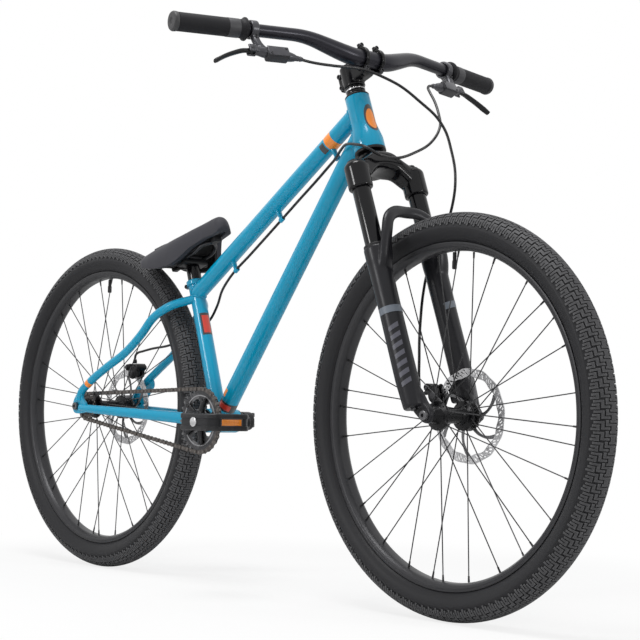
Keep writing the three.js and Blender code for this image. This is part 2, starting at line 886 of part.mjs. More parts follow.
function saddleClamp() {
  const halfWidth = railSpacingHalf + railRadius + clampSideMargin;
  const block = box(clampLength, halfWidth * 2, clampHeight).translate(0, 0, clampMiddle);
  const boltEnd = halfWidth + clampNutHeight;
  const boltTip = boltEnd + clampNutHeight / 2;
  const bolt = crossRod(clampBoltRadius, -boltTip, boltTip, boltSides);
  const nuts = crossRod(clampNutRadius, -boltEnd, boltEnd, boltSides);
  const boltHeight = clampLow + clampNutRadius;
  const railHoles = [-railSpacingHalf, railSpacingHalf].map((side) => {
    const hole = rod(around(railRadius, smallSides), -clampLength, clampLength, smallSides);
    return hole.rotateY(quarterTurn).translate(0, side, railHeight);
  });
  const bolted = join(block, nuts.translate(0, 0, boltHeight), bolt.translate(0, 0, boltHeight));
  return cut(bolted, ...railHoles);
}
addPiece(seatLine, "saddle_clamp", saddleClamp(), glossBlack);

// Saddle: padded cover over a plastic shell, on one bent wire that makes both rails
const saddle = new THREE.Group();
saddle.position.set(saddleForward, 0, clampLow + clampHeight + saddleAboveClamp - saddleRise);
seatLine.add(saddle);
const saddlePlace = (share) => (share - (1 - saddleNoseShare)) * saddleLength;

// The dome at an inset from the cover's outer face, its foot carried below the edge by an extra depth
function saddleDome(inset, extra) {
  const rings = saddleShares.map(([along, width, crown, edge]) => {
    const place = lerp(saddlePlace(0) + inset, saddlePlace(1) - inset, along);
    const halfWidth = Math.max(width * saddleHalfWidth - inset, width * saddleHalfWidth * saddleNarrowShare);
    const top = saddleRise * crown - inset;
    const low = Math.min(saddleRise * edge, top - saddleRise * saddleThinShare);
    const arc = Array.from({ length: saddleSides + 1 }, (_, i) => {
      const angle = (Math.PI * i) / saddleSides;
      const across = Math.sign(Math.cos(angle)) * Math.abs(Math.cos(angle)) ** saddleRoundness;
      const up = Math.sin(angle) ** saddleRoundness;
      return new Vector3(place, halfWidth * across, lerp(low, top, up));
    });
    if (extra === 0) return arc;
    const corner = (side) => new Vector3(place, halfWidth * side, low - extra);
    return [...arc, corner(-1), corner(1)];
  });
  return skin(rings, true);
}
const shellInset = padThickness + shellGap;
addPiece(saddle, "saddle_pad", cut(saddleDome(0, 0), saddleDome(padThickness, overrun)), saddleCover);

const railTop = railHeight - saddle.position.z;
const railFrontEnd = saddleLength * railFrontShares[1];
const railRearEnd = saddleLength * railRearShares[1];
const railRearLift = saddleRise * railRearLiftShare;
const railNoseLift = saddleRise * railNoseLiftShare;

function saddleShell() {
  const noseFrom = saddlePlace(saddleHollowShare);
  const noseEnd = box(saddleLength, saddleHalfWidth * 2, saddleRise * 4);
  noseEnd.translate(noseFrom + saddleLength / 2, 0, 0);
  const hollow = cut(saddleDome(shellInset + saddleShellWall, overrun), noseEnd);
  const shell = cut(saddleDome(shellInset, 0), hollow);
  const blockLow = railRearLift - railRadius;
  const blockHigh = saddleRise * railBlockTopShare;
  const rearBlock = (side) =>
    box(railBlockSize, railBlockSize, blockHigh - blockLow).translate(
      railRearEnd - railBlockSize / 2 - railEndGap,
      side * railSpacingHalf,
      (blockLow + blockHigh) / 2,
    );
  const noseBlock = box(railBlockSize, railNoseBlockWidth, railBlockSize).translate(
    railFrontEnd + railRadius + seatGap + railBlockSize / 2,
    0,
    railNoseLift + railBlockSize / 2 - railRadius,
  );
  return join(shell, rearBlock(-1), rearBlock(1), noseBlock);
}
addPiece(saddle, "saddle_shell", saddleShell(), satinBlack);

function saddleRails() {
  const frontKnee = saddleLength * railFrontShares[0];
  const rearKnee = saddleLength * railRearShares[0];
  const throat = lerp(frontKnee, railFrontEnd, railThroatShares[0]);
  const throatHeight = lerp(railTop, railNoseLift, railThroatShares[1]);
  const side = (sign) => [
    new Vector3(railRearEnd, railSpacingHalf * sign, railRearLift),
    new Vector3(rearKnee, railSpacingHalf * sign, railTop),
    new Vector3(-railClampLength / 2, railSpacingHalf * sign, railTop),
    new Vector3(railClampLength / 2, railSpacingHalf * sign, railTop),
    new Vector3(frontKnee, railSpacingHalf * sign, railTop),
    new Vector3(throat, railSpacingHalf * railThroatShares[0] * sign, throatHeight),
  ];
  const nose = new Vector3(railFrontEnd, 0, railNoseLift);
  const points = [...side(1), nose, ...side(-1).reverse()];
  const section = new Shape(circlePoints(railRadius, railSides));
  const extrudePath = new THREE.CatmullRomCurve3(points, false, "chordal");
  const options = { steps: railSteps, bevelEnabled: false, extrudePath };
  return facingOut(new THREE.ExtrudeGeometry(section, options));
}
addPiece(saddle, "saddle_rails", saddleRails(), darkGrey);

// Headset, steerer and spacers
const steererBore = steererRadius + seatGap;
const cupBore = around(steererRadius, tubeSides);
const upperCup = [
  [cupBore, -cupDepth + seatGap],
  [upperCupRadius - seatGap, -cupDepth + seatGap],
  [upperCupRadius - seatGap, seatGap],
  [headTubeRadius, seatGap],
  [headTubeRadius, upperCoverHeight / 2],
  [spacerRadius, upperCoverHeight],
  [cupBore, upperCoverHeight],
  [cupBore, -cupDepth + seatGap],
];
addPiece(steering, "headset_upper", turnedUp(upperCup, tubeSides), satinBlack);
const lowerCupFoot = -headTubeLength - lowerCupHeight;
const lowerCup = [
  [cupBore, lowerCupFoot],
  [headFlareRadius, lowerCupFoot],
  [headFlareRadius, -headTubeLength - seatGap],
  [lowerCupRadius - seatGap, -headTubeLength - seatGap],
  [lowerCupRadius - seatGap, -headTubeLength + cupDepth - seatGap],
  [cupBore, -headTubeLength + cupDepth - seatGap],
  [cupBore, lowerCupFoot],
];
addPiece(steering, "headset_lower", turnedUp(lowerCup, tubeSides), satinBlack);
const spacerLow = upperCoverHeight + seatGap;
const stemLow = spacerLow + spacerHeight + seatGap;
const stemTop = stemLow + stemClampHeight;
addPiece(
  steering,
  "headset_spacers",
  pipe(spacerRadius, steererBore, spacerLow, spacerLow + spacerHeight, tubeSides),
  satinBlack,
);
const crownTop = lowerCupFoot - seatGap;
const crownShoulder = crownTop - crownRise;
const crownFoot = crownShoulder - crownSocketHeight;
addPiece(
  steering,
  "steerer",
  pipe(steererRadius, steererRadius - steererWall, crownShoulder, stemTop - stemSteererInset, tubeSides),
  satinBlack,
);

// Fork crown: steerer boss, arched bridge and a socket for each stanchion
function forkCrown() {
  const half = [
    ...crownShoulderShares.map(([y, rise]) => [y * forkLegHalf, crownShoulder + rise * crownRise]),
    ...crownShoulderShares.map(([y, rise]) => [-y * forkLegHalf, crownShoulder + rise * crownRise]).reverse(),
    ...crownArchShares.map(([y, drop]) => [-y * forkLegHalf, crownShoulder - drop * crownSocketHeight]),
    ...crownArchShares
      .map(([y, drop]) => [y * forkLegHalf, crownShoulder - drop * crownSocketHeight])
      .reverse()
      .slice(1),
  ];
  const bridge = slab(outline(half), 0, crownDepth).rotateZ(-quarterTurn);
  const boss = rod(crownBossRadius, crownShoulder, crownTop, tubeSides);
  const sides = [-forkLegHalf, forkLegHalf];
  const sockets = sides.map((side) =>
    rod(crownSocketRadius, crownFoot, crownShoulder, tubeSides).translate(forkLegOffset, side, 0),
  );
  const bores = sides.map((side) => {
    const bore = rod(stanchionRadius + seatGap, crownFoot - overrun, crownShoulder + overrun, tubeSides);
    return bore.translate(forkLegOffset, side, 0);
  });
  const steererHole = rod(steererBore, crownFoot - overrun, crownTop + overrun, tubeSides);
  return cut(join(boss, bridge, ...sockets), ...bores, steererHole);
}
addPiece(steering, "fork_crown", forkCrown(), glossBlack);

// Stanchions and their top caps
const frontHub = frontAxle.clone().applyMatrix4(fromSteering);
const legFoot = frontHub.z + lowerLegEnd;
const stanchionLow = legFoot + lowerBottomWall + forkTravel + stanchionFootGap;
const stanchionBore = stanchionRadius - stanchionWall;
const stanchion = pipe(stanchionRadius, stanchionBore, stanchionLow, crownShoulder, tubeSides);
const capLow = crownShoulder + seatGap;
const flatCap = rod(capRadius, capLow, capLow + capHeight, smallSides);
const knobCap = join(flatCap, rod(knobRadius, capLow, capLow + capHeight + knobHeight, smallSides));
for (const [side, sign, cap] of [["right", -1, flatCap], ["left", 1, knobCap]]) {
  const leg = stanchion.clone().translate(forkLegOffset, sign * forkLegHalf, 0);
  addPiece(steering, "stanchion_" + side, leg, glossBlack);
  const placedCap = cap.clone().translate(forkLegOffset, sign * forkLegHalf, 0);
  addPiece(steering, "fork_cap_" + side, placedCap, satinBlack);
}

// Fork lowers' seals, and the brake caliper's place
const sealTop = crownFoot - sealDrop;
const caliperSpot = (angle) => new Vector3(Math.cos(angle), 0, Math.sin(angle)).multiplyScalar(caliperRing);
const frontCaliperSpot = caliperSpot(radians(frontCaliperAngle) - steeringTilt).add(frontHub);

// Fork lowers: two legs with blind bores, the arch in front, tips for the axle and the brake mount
function lowerLeg() {
  return turnedUp(
    [
      [0, legFoot + lowerBottomWall],
      [stanchionRadius + seatGap, legFoot + lowerBottomWall],
      [stanchionRadius + seatGap, sealTop],
      [lowerLegRadius, sealTop],
      [lowerLegRadius, sealTop - lowerSealHeight],
      [lowerLegWaist, sealTop - lowerSealHeight * 1.4],
      [lowerLegWaist, legFoot + lowerBottomWall * 2],
      [lowerLegFoot, legFoot],
      [0, legFoot],
    ],
    tubeSides,
  ).translate(forkLegOffset, forkLegHalf, 0);
}

function forkArch() {
  const stationsOf = (shares, sign) =>
    shares.map(([out, up, forward]) => ({
      at: new Vector3(
        forkLegOffset + archShoulderForward * forward,
        sign * forkLegHalf * out,
        sealTop + (up < 0 ? archFootDepth : archHeight) * up,
      ),
      wide: lerp(archHalfHeight, archHalfThickness, Math.min(Math.max(-up, 0), 1)),
      tall: archHalfThickness,
    }));
  const left = stationsOf(archShares, 1);
  const right = stationsOf(archShares.slice(0, -1), -1).reverse();
  return sweep([...left, ...right], smallSides, 0, forward);
}

function forkTip() {
  const shape = outline(
    forkTipShares.map(([x, z]) => [frontHub.x + x * forkTipReach, frontHub.z + z * forkTipReach]),
  );
  const inner = frontHubHalf + seatGap;
  return slab(shape, inner, inner + forkTipThickness);
}

function forkLowers() {
  const leg = join(lowerLeg(), forkTip());
  const mountLow = frontCaliperSpot.z - forkMountHeight / 2;
  const mountFront = forkLegOffset;
  const mountBack = frontCaliperSpot.x + caliperRadial / 2 + seatGap;
  const mount = box(mountFront - mountBack, forkMountOuter - forkMountInner, forkMountHeight).translate(
    (mountFront + mountBack) / 2,
    (forkMountOuter + forkMountInner) / 2,
    mountLow + forkMountHeight / 2,
  );
  const boreEnd = legFoot + lowerBottomWall;
  const bores = [-forkLegHalf, forkLegHalf].map((side) =>
    rod(stanchionRadius + seatGap, boreEnd, sealTop + overrun, tubeSides).translate(forkLegOffset, side, 0),
  );
  const axle = crossRod(around(axleRadius, smallSides), -frontHubHalf * 2, frontHubHalf * 2, smallSides);
  axle.translate(frontHub.x, 0, frontHub.z);
  return cut(join(leg, mirrored(leg), forkArch(), mount), ...bores, axle);
}
addPiece(steering, "fork_lowers", forkLowers(), satinCharcoal);

// Wheels
const tyreCentre = tyreRadius - tyreWidth / 2;

function tyreSection() {
  const arc = (radius, from, to, steps) =>
    Array.from({ length: steps + 1 }, (_, i) => {
      const angle = radians(lerp(from, to, i / steps));
      return [tyreCentre + radius * Math.cos(angle), radius * Math.sin(angle)];
    });
  const outer = arc(tyreWidth / 2, -beadAngle, beadAngle, tyreArcSteps);
  const inner = arc(tyreWidth / 2 - tyreWall, beadAngle, -beadAngle, tyreInnerSteps);
  const beadSide = outer[outer.length - 1][1];
  const beadFoot = rimSeatRadius + seatGap;
  const leftBead = [[beadFoot, beadSide], [beadFoot, beadSide - beadWidth]];
  const rightBead = [[beadFoot, beadWidth - beadSide], [beadFoot, -beadSide]];
  return [...outer, ...leftBead, ...inner, ...rightBead, outer[0]];
}

const rimFlangeTop = rimSeatRadius + rimFlangeHeight;
const rimBedHalfWidth = rimHalfWidth - rimFlangeWall;
const rimHalfSection = [
  [rimInnerRadius, rimNoseHalfWidth],
  [rimInnerRadius + rimShoulderRise, rimHalfWidth],
  [rimFlangeTop, rimHalfWidth],
  [rimFlangeTop, rimBedHalfWidth],
  [rimSeatRadius, rimBedHalfWidth],
];
const rimSection = [
  ...rimHalfSection,
  ...rimHalfSection.map(([radius, side]) => [radius, -side]).reverse(),
  rimHalfSection[0],
];

// One flange of spokes: each leaves the flange at a slant, in turn to one side and the other
function flangeSpokes(flangeSide, turnShare) {
  const start = flangeRadius - spokeHoleInset;
  const end = rimInnerRadius * Math.cos(Math.PI / wheelSides) - seatGap;
  return Array.from({ length: spokesPerFlange }, (_, i) => {
    const lean = i % 2 === 0 ? 1 : -1;
    const hole = (fullTurn * (i + turnShare)) / spokesPerFlange;
    const nipple = hole + (lean * radians(spokeSweepAngle)) / 2;
    const from = new Vector3(Math.cos(hole) * start, flangeSide, Math.sin(hole) * start);
    from.y += lean * spokeRadius * 1.4;
    const to = new Vector3(Math.cos(nipple) * end, 0, Math.sin(nipple) * end);
    return aimed(rod(spokeRadius, 0, from.distanceTo(to), spokeSides), from, to);
  });
}

function spokedHub(rightEnd, leftEnd, rightFlange, leftFlange, rotorOffset) {
  const bore = around(axleRadius, smallSides);
  const half = flangeThickness / 2;
  const rotorFace = rotorOffset - rotorThickness / 2 - seatGap;
  const section = [
    [bore, -rightEnd],
    [hubEndRadius, -rightEnd],
    [hubBarrelRadius, -rightFlange - half],
    [flangeRadius, -rightFlange - half],
    [flangeRadius, -rightFlange + half],
    [hubBarrelRadius, -rightFlange + half],
    [hubBarrelRadius, leftFlange - half],
    [flangeRadius, leftFlange - half],
    [flangeRadius, leftFlange + half],
    [hubBarrelRadius, leftFlange + half],
    [rotorSpiderRadius * 0.8, rotorFace - half],
    [rotorSpiderRadius * 0.8, rotorFace],
    [hubEndRadius, rotorFace],
    [hubEndRadius, leftEnd],
    [bore, leftEnd],
    [bore, -rightEnd],
  ];
  const spokes = [...flangeSpokes(-rightFlange, 0), ...flangeSpokes(leftFlange, 0.5)];
  return join(turned(section, smallSides), ...spokes);
}

function rotor() {
  const disc = new Shape(circlePoints(rotorRadius, wheelSides));
  const windowOuter = rotorRadius - rotorTrackWidth;
  for (let i = 0; i < rotorArms; i += 1) {
    const from = (fullTurn * i) / rotorArms;
    const to = from + (fullTurn * (1 - rotorArmShare)) / rotorArms;
    const lag = (to - from) * rotorArmLagShare;
    const outerArc = arcPoints(windowOuter, from, to, windowSteps);
    const innerArc = arcPoints(rotorSpiderRadius, to - lag, from - lag, windowSteps / 2);
    disc.holes.push(new Path([...outerArc, ...innerArc]));
  }
  disc.holes.push(new Path(circlePoints(hubEndRadius + seatGap, smallSides)));
  return slab(disc, -rotorThickness / 2, rotorThickness / 2);
}

function boltOnAxle(plateOuter) {
  const headLow = plateOuter + seatGap;
  const headHigh = headLow + axleBoltHeight;
  return turned(
    [
      [0, -headHigh],
      [axleBoltRadius, -headHigh],
      [axleBoltRadius, -headLow],
      [axleRadius, -headLow],
      [axleRadius, headLow],
      [axleBoltRadius, headLow],
      [axleBoltRadius, headHigh],
      [0, headHigh],
    ],
    smallSides,
  );
}

const frontWheel = new THREE.Group();
frontWheel.position.copy(frontHub);
frontWheel.rotation.y = steeringTilt;
steering.add(frontWheel);
const frontHubBody = spokedHub(
  frontHubHalf,
  frontHubHalf,
  frontFlangeRight,
  frontFlangeLeft,
  frontRotorOffset,
);
const rearHubBody = spokedHub(
  driverInner - seatGap,
  rearHubHalf,
  rearFlangeRight,
  rearFlangeLeft,
  rearRotorOffset,
);
const frontTipOuter = frontHubHalf + seatGap + forkTipThickness;
for (const [name, wheel, hub, rotorOffset, plateOuter] of [
  ["front", frontWheel, frontHubBody, frontRotorOffset, frontTipOuter],
  ["rear", rearWheel, rearHubBody, rearRotorOffset, dropoutOuter],
]) {
  addPiece(wheel, name + "_tyre", turned(tyreSection(), wheelSides), tyreRubber);
  addPiece(wheel, name + "_rim", turned(rimSection, wheelSides), satinBlack);
  addPiece(wheel, name + "_hub_spokes", hub, satinBlack);
  addPiece(wheel, name + "_rotor", rotor().translate(0, rotorOffset, 0), brightSteel);
  addPiece(wheel, name + "_axle", boltOnAxle(plateOuter), darkGrey);
}

// Calipers, each slotted for its rotor
function caliperBody(rotorOffset) {
  const body = box(caliperRadial, caliperInboard + caliperOutboard, caliperTangential);
  return body.translate(0, rotorOffset + (caliperOutboard - caliperInboard) / 2, 0);
}

function rotorSlot(centre, rotorOffset) {
  const half = rotorThickness / 2 + rotorSlotGap;
  const slot = crossRod(rotorRadius + rotorSlotGap * 2, rotorOffset - half, rotorOffset + half, wheelSides);
  return slot.translate(centre.x, 0, centre.z);
}

// The boot that the brake hose enters, standing out of the caliper's far face
function hoseBoot(side, along) {
  const face = caliperRadial / 2;
  const boot = rod(hoseBootRadius, face - hoseBootLength, face + hoseBootLength, smallSides);
  return boot.rotateY(-quarterTurn).translate(0, side, along);
}
const frontCaliperBody = join(caliperBody(frontRotorOffset), hoseBoot(frontRotorOffset, frontBootRise));
frontCaliperBody.translate(frontCaliperSpot.x, 0, frontCaliperSpot.z);
const frontCaliper = cut(frontCaliperBody, rotorSlot(frontHub, frontRotorOffset));
addPiece(steering, "front_caliper", frontCaliper, satinBlack);
const rearCaliperSpot = caliperSpot(radians(rearCaliperAngle)).add(rearAxle);
const rearCaliperBody = join(caliperBody(rearRotorOffset), hoseBoot(rearRotorOffset, -rearBootSetback));
rearCaliperBody.rotateY(quarterTurn);
rearCaliperBody.translate(rearCaliperSpot.x, 0, rearCaliperSpot.z);
const rearCaliper = cut(
  rearCaliperBody,
  rotorSlot(rearAxle, rearRotorOffset),
  sweep(widened(seatstay.stations, runningGap), staySides),
);
addPiece(bike, "rear_caliper", rearCaliper, satinBlack);

// Chainring and rear sprocket, with teeth between the chain's rollers
const chainringRadius = (chainPitch * chainringTeeth) / fullTurn;
const sprocketRadius = (chainPitch * sprocketTeeth) / fullTurn;

function toothedDisc(radius, teeth, firstRoller) {
  const corners = [];
  for (let i = 0; i < teeth; i += 1) {
    const middle = firstRoller + (fullTurn * (i + 0.5)) / teeth;
    const rows = [
      [radius - toothRoot, -toothRootHalfWidth],
      [radius + toothRise, -toothTipHalfWidth],
      [radius + toothRise, toothTipHalfWidth],
      [radius - toothRoot, toothRootHalfWidth],
    ];
    for (const [distance, side] of rows) {
      const angle = middle + side / distance;
      corners.push([Math.cos(angle) * distance, Math.sin(angle) * distance]);
    }
  }
  return outline(corners);
}

// The chain's line, seen from the right side's plane with the crank at the origin
const driveLine = new Vector2(rearAxle.x - bb.x, rearAxle.z - bb.z);
const driveLength = driveLine.length();
const driveAngle = driveLine.angle();
const tangentLean = Math.acos((chainringRadius - sprocketRadius) / driveLength);
const straightRun = driveLength * Math.sin(tangentLean);
const ringArc = (fullTurn - tangentLean * 2) * chainringRadius;
const sprocketArc = tangentLean * 2 * sprocketRadius;
const chainLength = straightRun * 2 + ringArc + sprocketArc;
const linkCount = Math.round(chainLength / chainPitch);
const linkStep = chainLength / linkCount;

const onRing = (angle) =>
  new Vector2(Math.cos(angle) * chainringRadius, Math.sin(angle) * chainringRadius);
const onSprocket = (angle) =>
  new Vector2(Math.cos(angle) * sprocketRadius, Math.sin(angle) * sprocketRadius).add(driveLine);

// A point of the line: over the front of the chainring, back along the bottom, round, and home on top
function chainPoint(distance) {
  if (distance < ringArc) return onRing(driveAngle - tangentLean - distance / chainringRadius);
  const below = distance - ringArc;
  const lowNormal = driveAngle + tangentLean;
  if (below < straightRun) return onRing(lowNormal).lerp(onSprocket(lowNormal), below / straightRun);
  const around = below - straightRun;
  if (around < sprocketArc) return onSprocket(lowNormal - around / sprocketRadius);
  const highNormal = driveAngle - tangentLean;
  return onSprocket(highNormal).lerp(onRing(highNormal), (around - sprocketArc) / straightRun);
}

function chainLoop(margin, LoopShape) {
  const loop = new LoopShape();
  const high = driveAngle - tangentLean;
  const low = driveAngle + tangentLean;
  loop.absarc(0, 0, chainringRadius + margin, low, high, false);
  loop.absarc(driveLine.x, driveLine.y, sprocketRadius + margin, high, low, false);
  return loop;
}

function chain() {
  const band = chainLoop(chainPlateHalfHeight, Shape);
  band.holes.push(chainLoop(-chainPlateHalfHeight, Path));
  const innerHalf = chainInnerWidth / 2;
  const outerHalf = innerHalf + chainPlateThickness;
  const leftPlates = slab(band, innerHalf, outerHalf);
  const rightPlates = slab(band, -outerHalf, -innerHalf);
  const pinHalf = innerHalf + chainPlateThickness / 2;
  const pinCount = Math.floor(linkCount / pinEvery);
  const rollers = Array.from({ length: pinCount }, (_, i) => {
    const place = chainPoint(i * pinEvery * linkStep);
    const pin = box(rollerHalf * 2, pinHalf * 2, rollerHalf * 2);
    return pin.translate(place.x, 0, place.y);
  });
  return join(leftPlates, rightPlates, ...rollers).translate(0, -chainline, 0);
}
addPiece(crankset, "chain", chain(), chainSteel);

const ringRoller = Math.round(ringArc / 2 / linkStep);
const ringRollerAngle = driveAngle - tangentLean - (ringRoller * linkStep) / chainringRadius;
const rearRoller = Math.round((ringArc + straightRun + sprocketArc / 2) / linkStep);
const rearRollerPlace = rearRoller * linkStep - ringArc - straightRun;
const rearRollerAngle = driveAngle + tangentLean - rearRollerPlace / sprocketRadius;

function chainring() {
  const disc = toothedDisc(chainringRadius, chainringTeeth, ringRollerAngle);
  const windowOuter = chainringRadius - chainringRimDepth;
  for (let i = 0; i < chainringArms; i += 1) {
    const from = (fullTurn * (i + chainringArmShare / 2)) / chainringArms;
    const to = (fullTurn * (i + 1 - chainringArmShare / 2)) / chainringArms;
    const outerArc = arcPoints(windowOuter, from, to, windowSteps);
    const innerArc = arcPoints(chainringHubRadius, to, from, windowSteps / 2);
    disc.holes.push(new Path([...outerArc, ...innerArc]));
  }
  disc.holes.push(new Path(circlePoints(around(spindleRadius, smallSides), smallSides)));
  const half = toothedThickness / 2;
  return slab(disc, -chainline - half, -chainline + half);
}
addPiece(crankset, "chainring", chainring(), darkGrey);

function rearSprocket() {
  const half = toothedThickness / 2;
  const disc = slab(toothedDisc(sprocketRadius, sprocketTeeth, rearRollerAngle), -half, half);
  const driver = crossRod(driverRadius, -rearHubHalf, -driverInner, tubeSides);
  const bore = crossRod(around(axleRadius, smallSides), -rearHubHalf - overrun, overrun, smallSides);
  return cut(join(disc.translate(0, -chainline, 0), driver), bore);
}
addPiece(rearWheel, "rear_sprocket", rearSprocket(), chainSteel);

// Bottom bracket cups, each with its bearing and a spacer out to the crank
const spindleBore = around(spindleRadius, smallSides);
const ringFace = chainline - toothedThickness / 2;
const cupSection = (outerEnd) => [
  [spindleBore, bbShellHalf - cupDepth],
  [bbShellBore - seatGap, bbShellHalf - cupDepth],
  [bbShellBore - seatGap, bbShellHalf + seatGap],
  [cupFlangeRadius, bbShellHalf + seatGap],
  [cupFlangeRadius, bbShellHalf + seatGap * 6],
  [driverRadius, outerEnd],
  [spindleBore, outerEnd],
  [spindleBore, bbShellHalf - cupDepth],
];
addPiece(crankset, "bb_cup_left", turned(cupSection(crankBossInner - seatGap), tubeSides), satinBlack);
addPiece(crankset, "bb_cup_right", mirrored(turned(cupSection(ringFace - seatGap), tubeSides)), satinBlack);

// Crank arms with their pedal axles, the left one carrying the spindle
function crankArm() {
  const boss = crossRod(crankBossRadius, crankBossInner, crankBossOuter, tubeSides);
  const eye = crossRod(crankEyeRadius, crankEyeInner, crankEyeOuter, smallSides).translate(crankLength, 0, 0);
  const bossSide = (crankBossInner + crankBossOuter) / 2;
  const eyeSide = (crankEyeInner + crankEyeOuter) / 2;
  const stations = crankArmShares.map(([along, out]) => ({
    at: new Vector3(crankLength * along, lerp(bossSide, eyeSide, out), 0),
    wide: crankArmHalfThickness,
    tall: lerp(crankArmHalfHeight, crankEyeHalfHeight, along),
  }));
  const axle = crossRod(pedalAxleRadius, eyeSide, pedalOuter - pedalEndWall - seatGap, smallSides);
  return join(boss, eye, sweep(stations, smallSides), axle.translate(crankLength, 0, 0));
}
const leftArm = crankArm().rotateY(Math.PI);
const rightArm = cut(mirrored(crankArm()), crossRod(spindleBore, -crankBossOuter - overrun, 0, smallSides));
const spindle = crossRod(spindleRadius, -crankBossOuter, crankBossInner + seatGap, smallSides);
addPiece(crankset, "crank_right", rightArm, darkGrey);
addPiece(crankset, "crank_left", join(leftArm, spindle), darkGrey);

// Platform pedals: a frame of rails round a centre tube with a blind bore
function pedalBody() {
  const halfWidth = (pedalOuter - pedalInner) / 2;
  const corner = pedalCorner;
  const frame = outline([
    [-pedalHalfLength, corner - halfWidth],
    [corner - pedalHalfLength, -halfWidth],
    [pedalHalfLength - corner, -halfWidth],
    [pedalHalfLength, corner - halfWidth],
    [pedalHalfLength, halfWidth - corner],
    [pedalHalfLength - corner, halfWidth],
    [corner - pedalHalfLength, halfWidth],
    [-pedalHalfLength, halfWidth - corner],
  ]);
  const windowLength = pedalHalfLength - pedalRail - pedalTubeRadius + pedalRail / 2;
  const windows = [-1, 1].map((sign) => {
    const window = box(windowLength, (halfWidth - pedalRail) * 2, pedalThickness + overrun);
    return window.translate(sign * (pedalHalfLength - pedalRail - windowLength / 2), 0, 0);
  });
  const options = { depth: pedalThickness, bevelEnabled: false };
  const plate = new THREE.ExtrudeGeometry(frame, options).translate(0, 0, -pedalThickness / 2);
  const tube = crossRod(pedalTubeRadius, -halfWidth, halfWidth, smallSides);
  const cap = crossRod(pedalCapRadius, halfWidth - seatGap, halfWidth + seatGap * 3, smallSides);
  const boreEnd = halfWidth - pedalEndWall;
  const boreRadius = around(pedalAxleRadius, smallSides);
  const bore = crossRod(boreRadius, -halfWidth - overrun, boreEnd, smallSides);
  const body = join(cut(plate, ...windows), tube, cap);
  return cut(body, bore).translate(0, (pedalInner + pedalOuter) / 2, 0);
}
const pedal = pedalBody();
addPiece(crankset, "pedal_right", mirrored(pedal).translate(crankLength, 0, 0), resin);
addPiece(crankset, "pedal_left", pedal.clone().translate(-crankLength, 0, 0), resin);

// Stem: clamped on the steerer, with a faceplate that holds the bar
const stemMiddle = (stemLow + stemTop) / 2;
const barCentre = new Vector3(stemReach, 0, stemMiddle + stemRise);
const barClampRing = barClampRadius + seatGap + barClampWall;

function stemBody() {
  const column = rod(stemClampRadius, stemLow, stemTop, tubeSides);
  const neck = box(stemReach, stemNeckHalfWidth * 2, stemNeckHeight);
  neck.translate(stemReach / 2, 0, stemMiddle + stemRise / 2);
  const ring = crossRod(barClampRing, -barClampHalf, barClampHalf, tubeSides);
  const bolts = [-pinchBoltSpacing / 2, pinchBoltSpacing / 2].map((rise) => {
    const half = pinchBoltLength / 2;
    const bolt = crossRod(pinchBoltRadius, -half, half, boltSides);
    return bolt.translate(-pinchBoltSetback, 0, stemMiddle + rise);
  });
  const ears = box(stemClampRadius, pinchBoltLength * 0.6, stemClampHeight * 0.85);
  ears.translate(-pinchBoltSetback + pinchBoltRadius, 0, stemMiddle);
  const whole = join(column, neck, ring.translate(barCentre.x, 0, barCentre.z), ears, ...bolts);
  const front = box(barClampRing * 2, barClampHalf * 4, barClampRing * 4);
  const frontCut = front.translate(barCentre.x + barClampRing - faceplateSplit / 2, 0, barCentre.z);
  return cut(whole, rod(steererBore, 0, stemTop + overrun, tubeSides), barEnvelope(), frontCut);
}

const barEnvelope = () =>
  crossRod(around(barClampRadius, tubeSides), -barClampHalf * 2, barClampHalf * 2, tubeSides).translate(
    barCentre.x,
    0,
    barCentre.z,
  );

function faceplate() {
  const ring = crossRod(barClampRing, -barClampHalf, barClampHalf, tubeSides);
  const bolts = [-1, 1].flatMap((side) =>
    [-1, 1].map((up) => {
      const place = barClampHalf - faceplateBand / 2;
      const length = stemBoltHeight + barClampWall;
      const bolt = rod(stemBoltRadius, faceplateSplit, length + faceplateSplit, boltSides);
      return bolt.rotateY(quarterTurn).translate(0, side * place, up * (barClampRing - stemBoltRadius / 2));
    }),
  );
  const windowHalf = barClampHalf - faceplateBand;
  const window = box(barClampRing * 2, windowHalf * 2, (barClampRing - faceplateBarHeight) * 2);
  const back = box(barClampRing * 2, barClampHalf * 4, barClampRing * 4);
  const shape = cut(
    join(ring, ...bolts),
    back.translate(-barClampRing + faceplateSplit / 2, 0, 0),
    window.translate(barClampRing, 0, 0),
  );
  return cut(shape.translate(barCentre.x, 0, barCentre.z), barEnvelope());
}
addPiece(steering, "stem_body", stemBody(), satinBlack);
addPiece(steering, "stem_faceplate", faceplate(), satinBlack);
const stemCap = join(
  rod(stemCapRadius, stemTop + seatGap, stemTop + seatGap + stemCapHeight, tubeSides),
  rod(stemCapBoltRadius, stemTop + seatGap, stemTop + stemCapHeight + stemCapBoltHeight, boltSides),
);
addPiece(steering, "stem_cap", stemCap, satinBlack);

// Handlebar: straight in the clamp, two bends up and back on each side, thinner towards the ends
const barEndRun = barHalfWidth - barBendHalf;
const barBend = new Vector3(barCentre.x - barPullback, barBendHalf, barCentre.z + barRise);
const barEnd = new Vector3(
  barBend.x - barEndRun * Math.tan(radians(barBacksweep)),
  barHalfWidth,
  barBend.z + barEndRun * Math.tan(radians(barUpsweep)),
);
const barOut = barEnd.clone().sub(barBend).normalize();

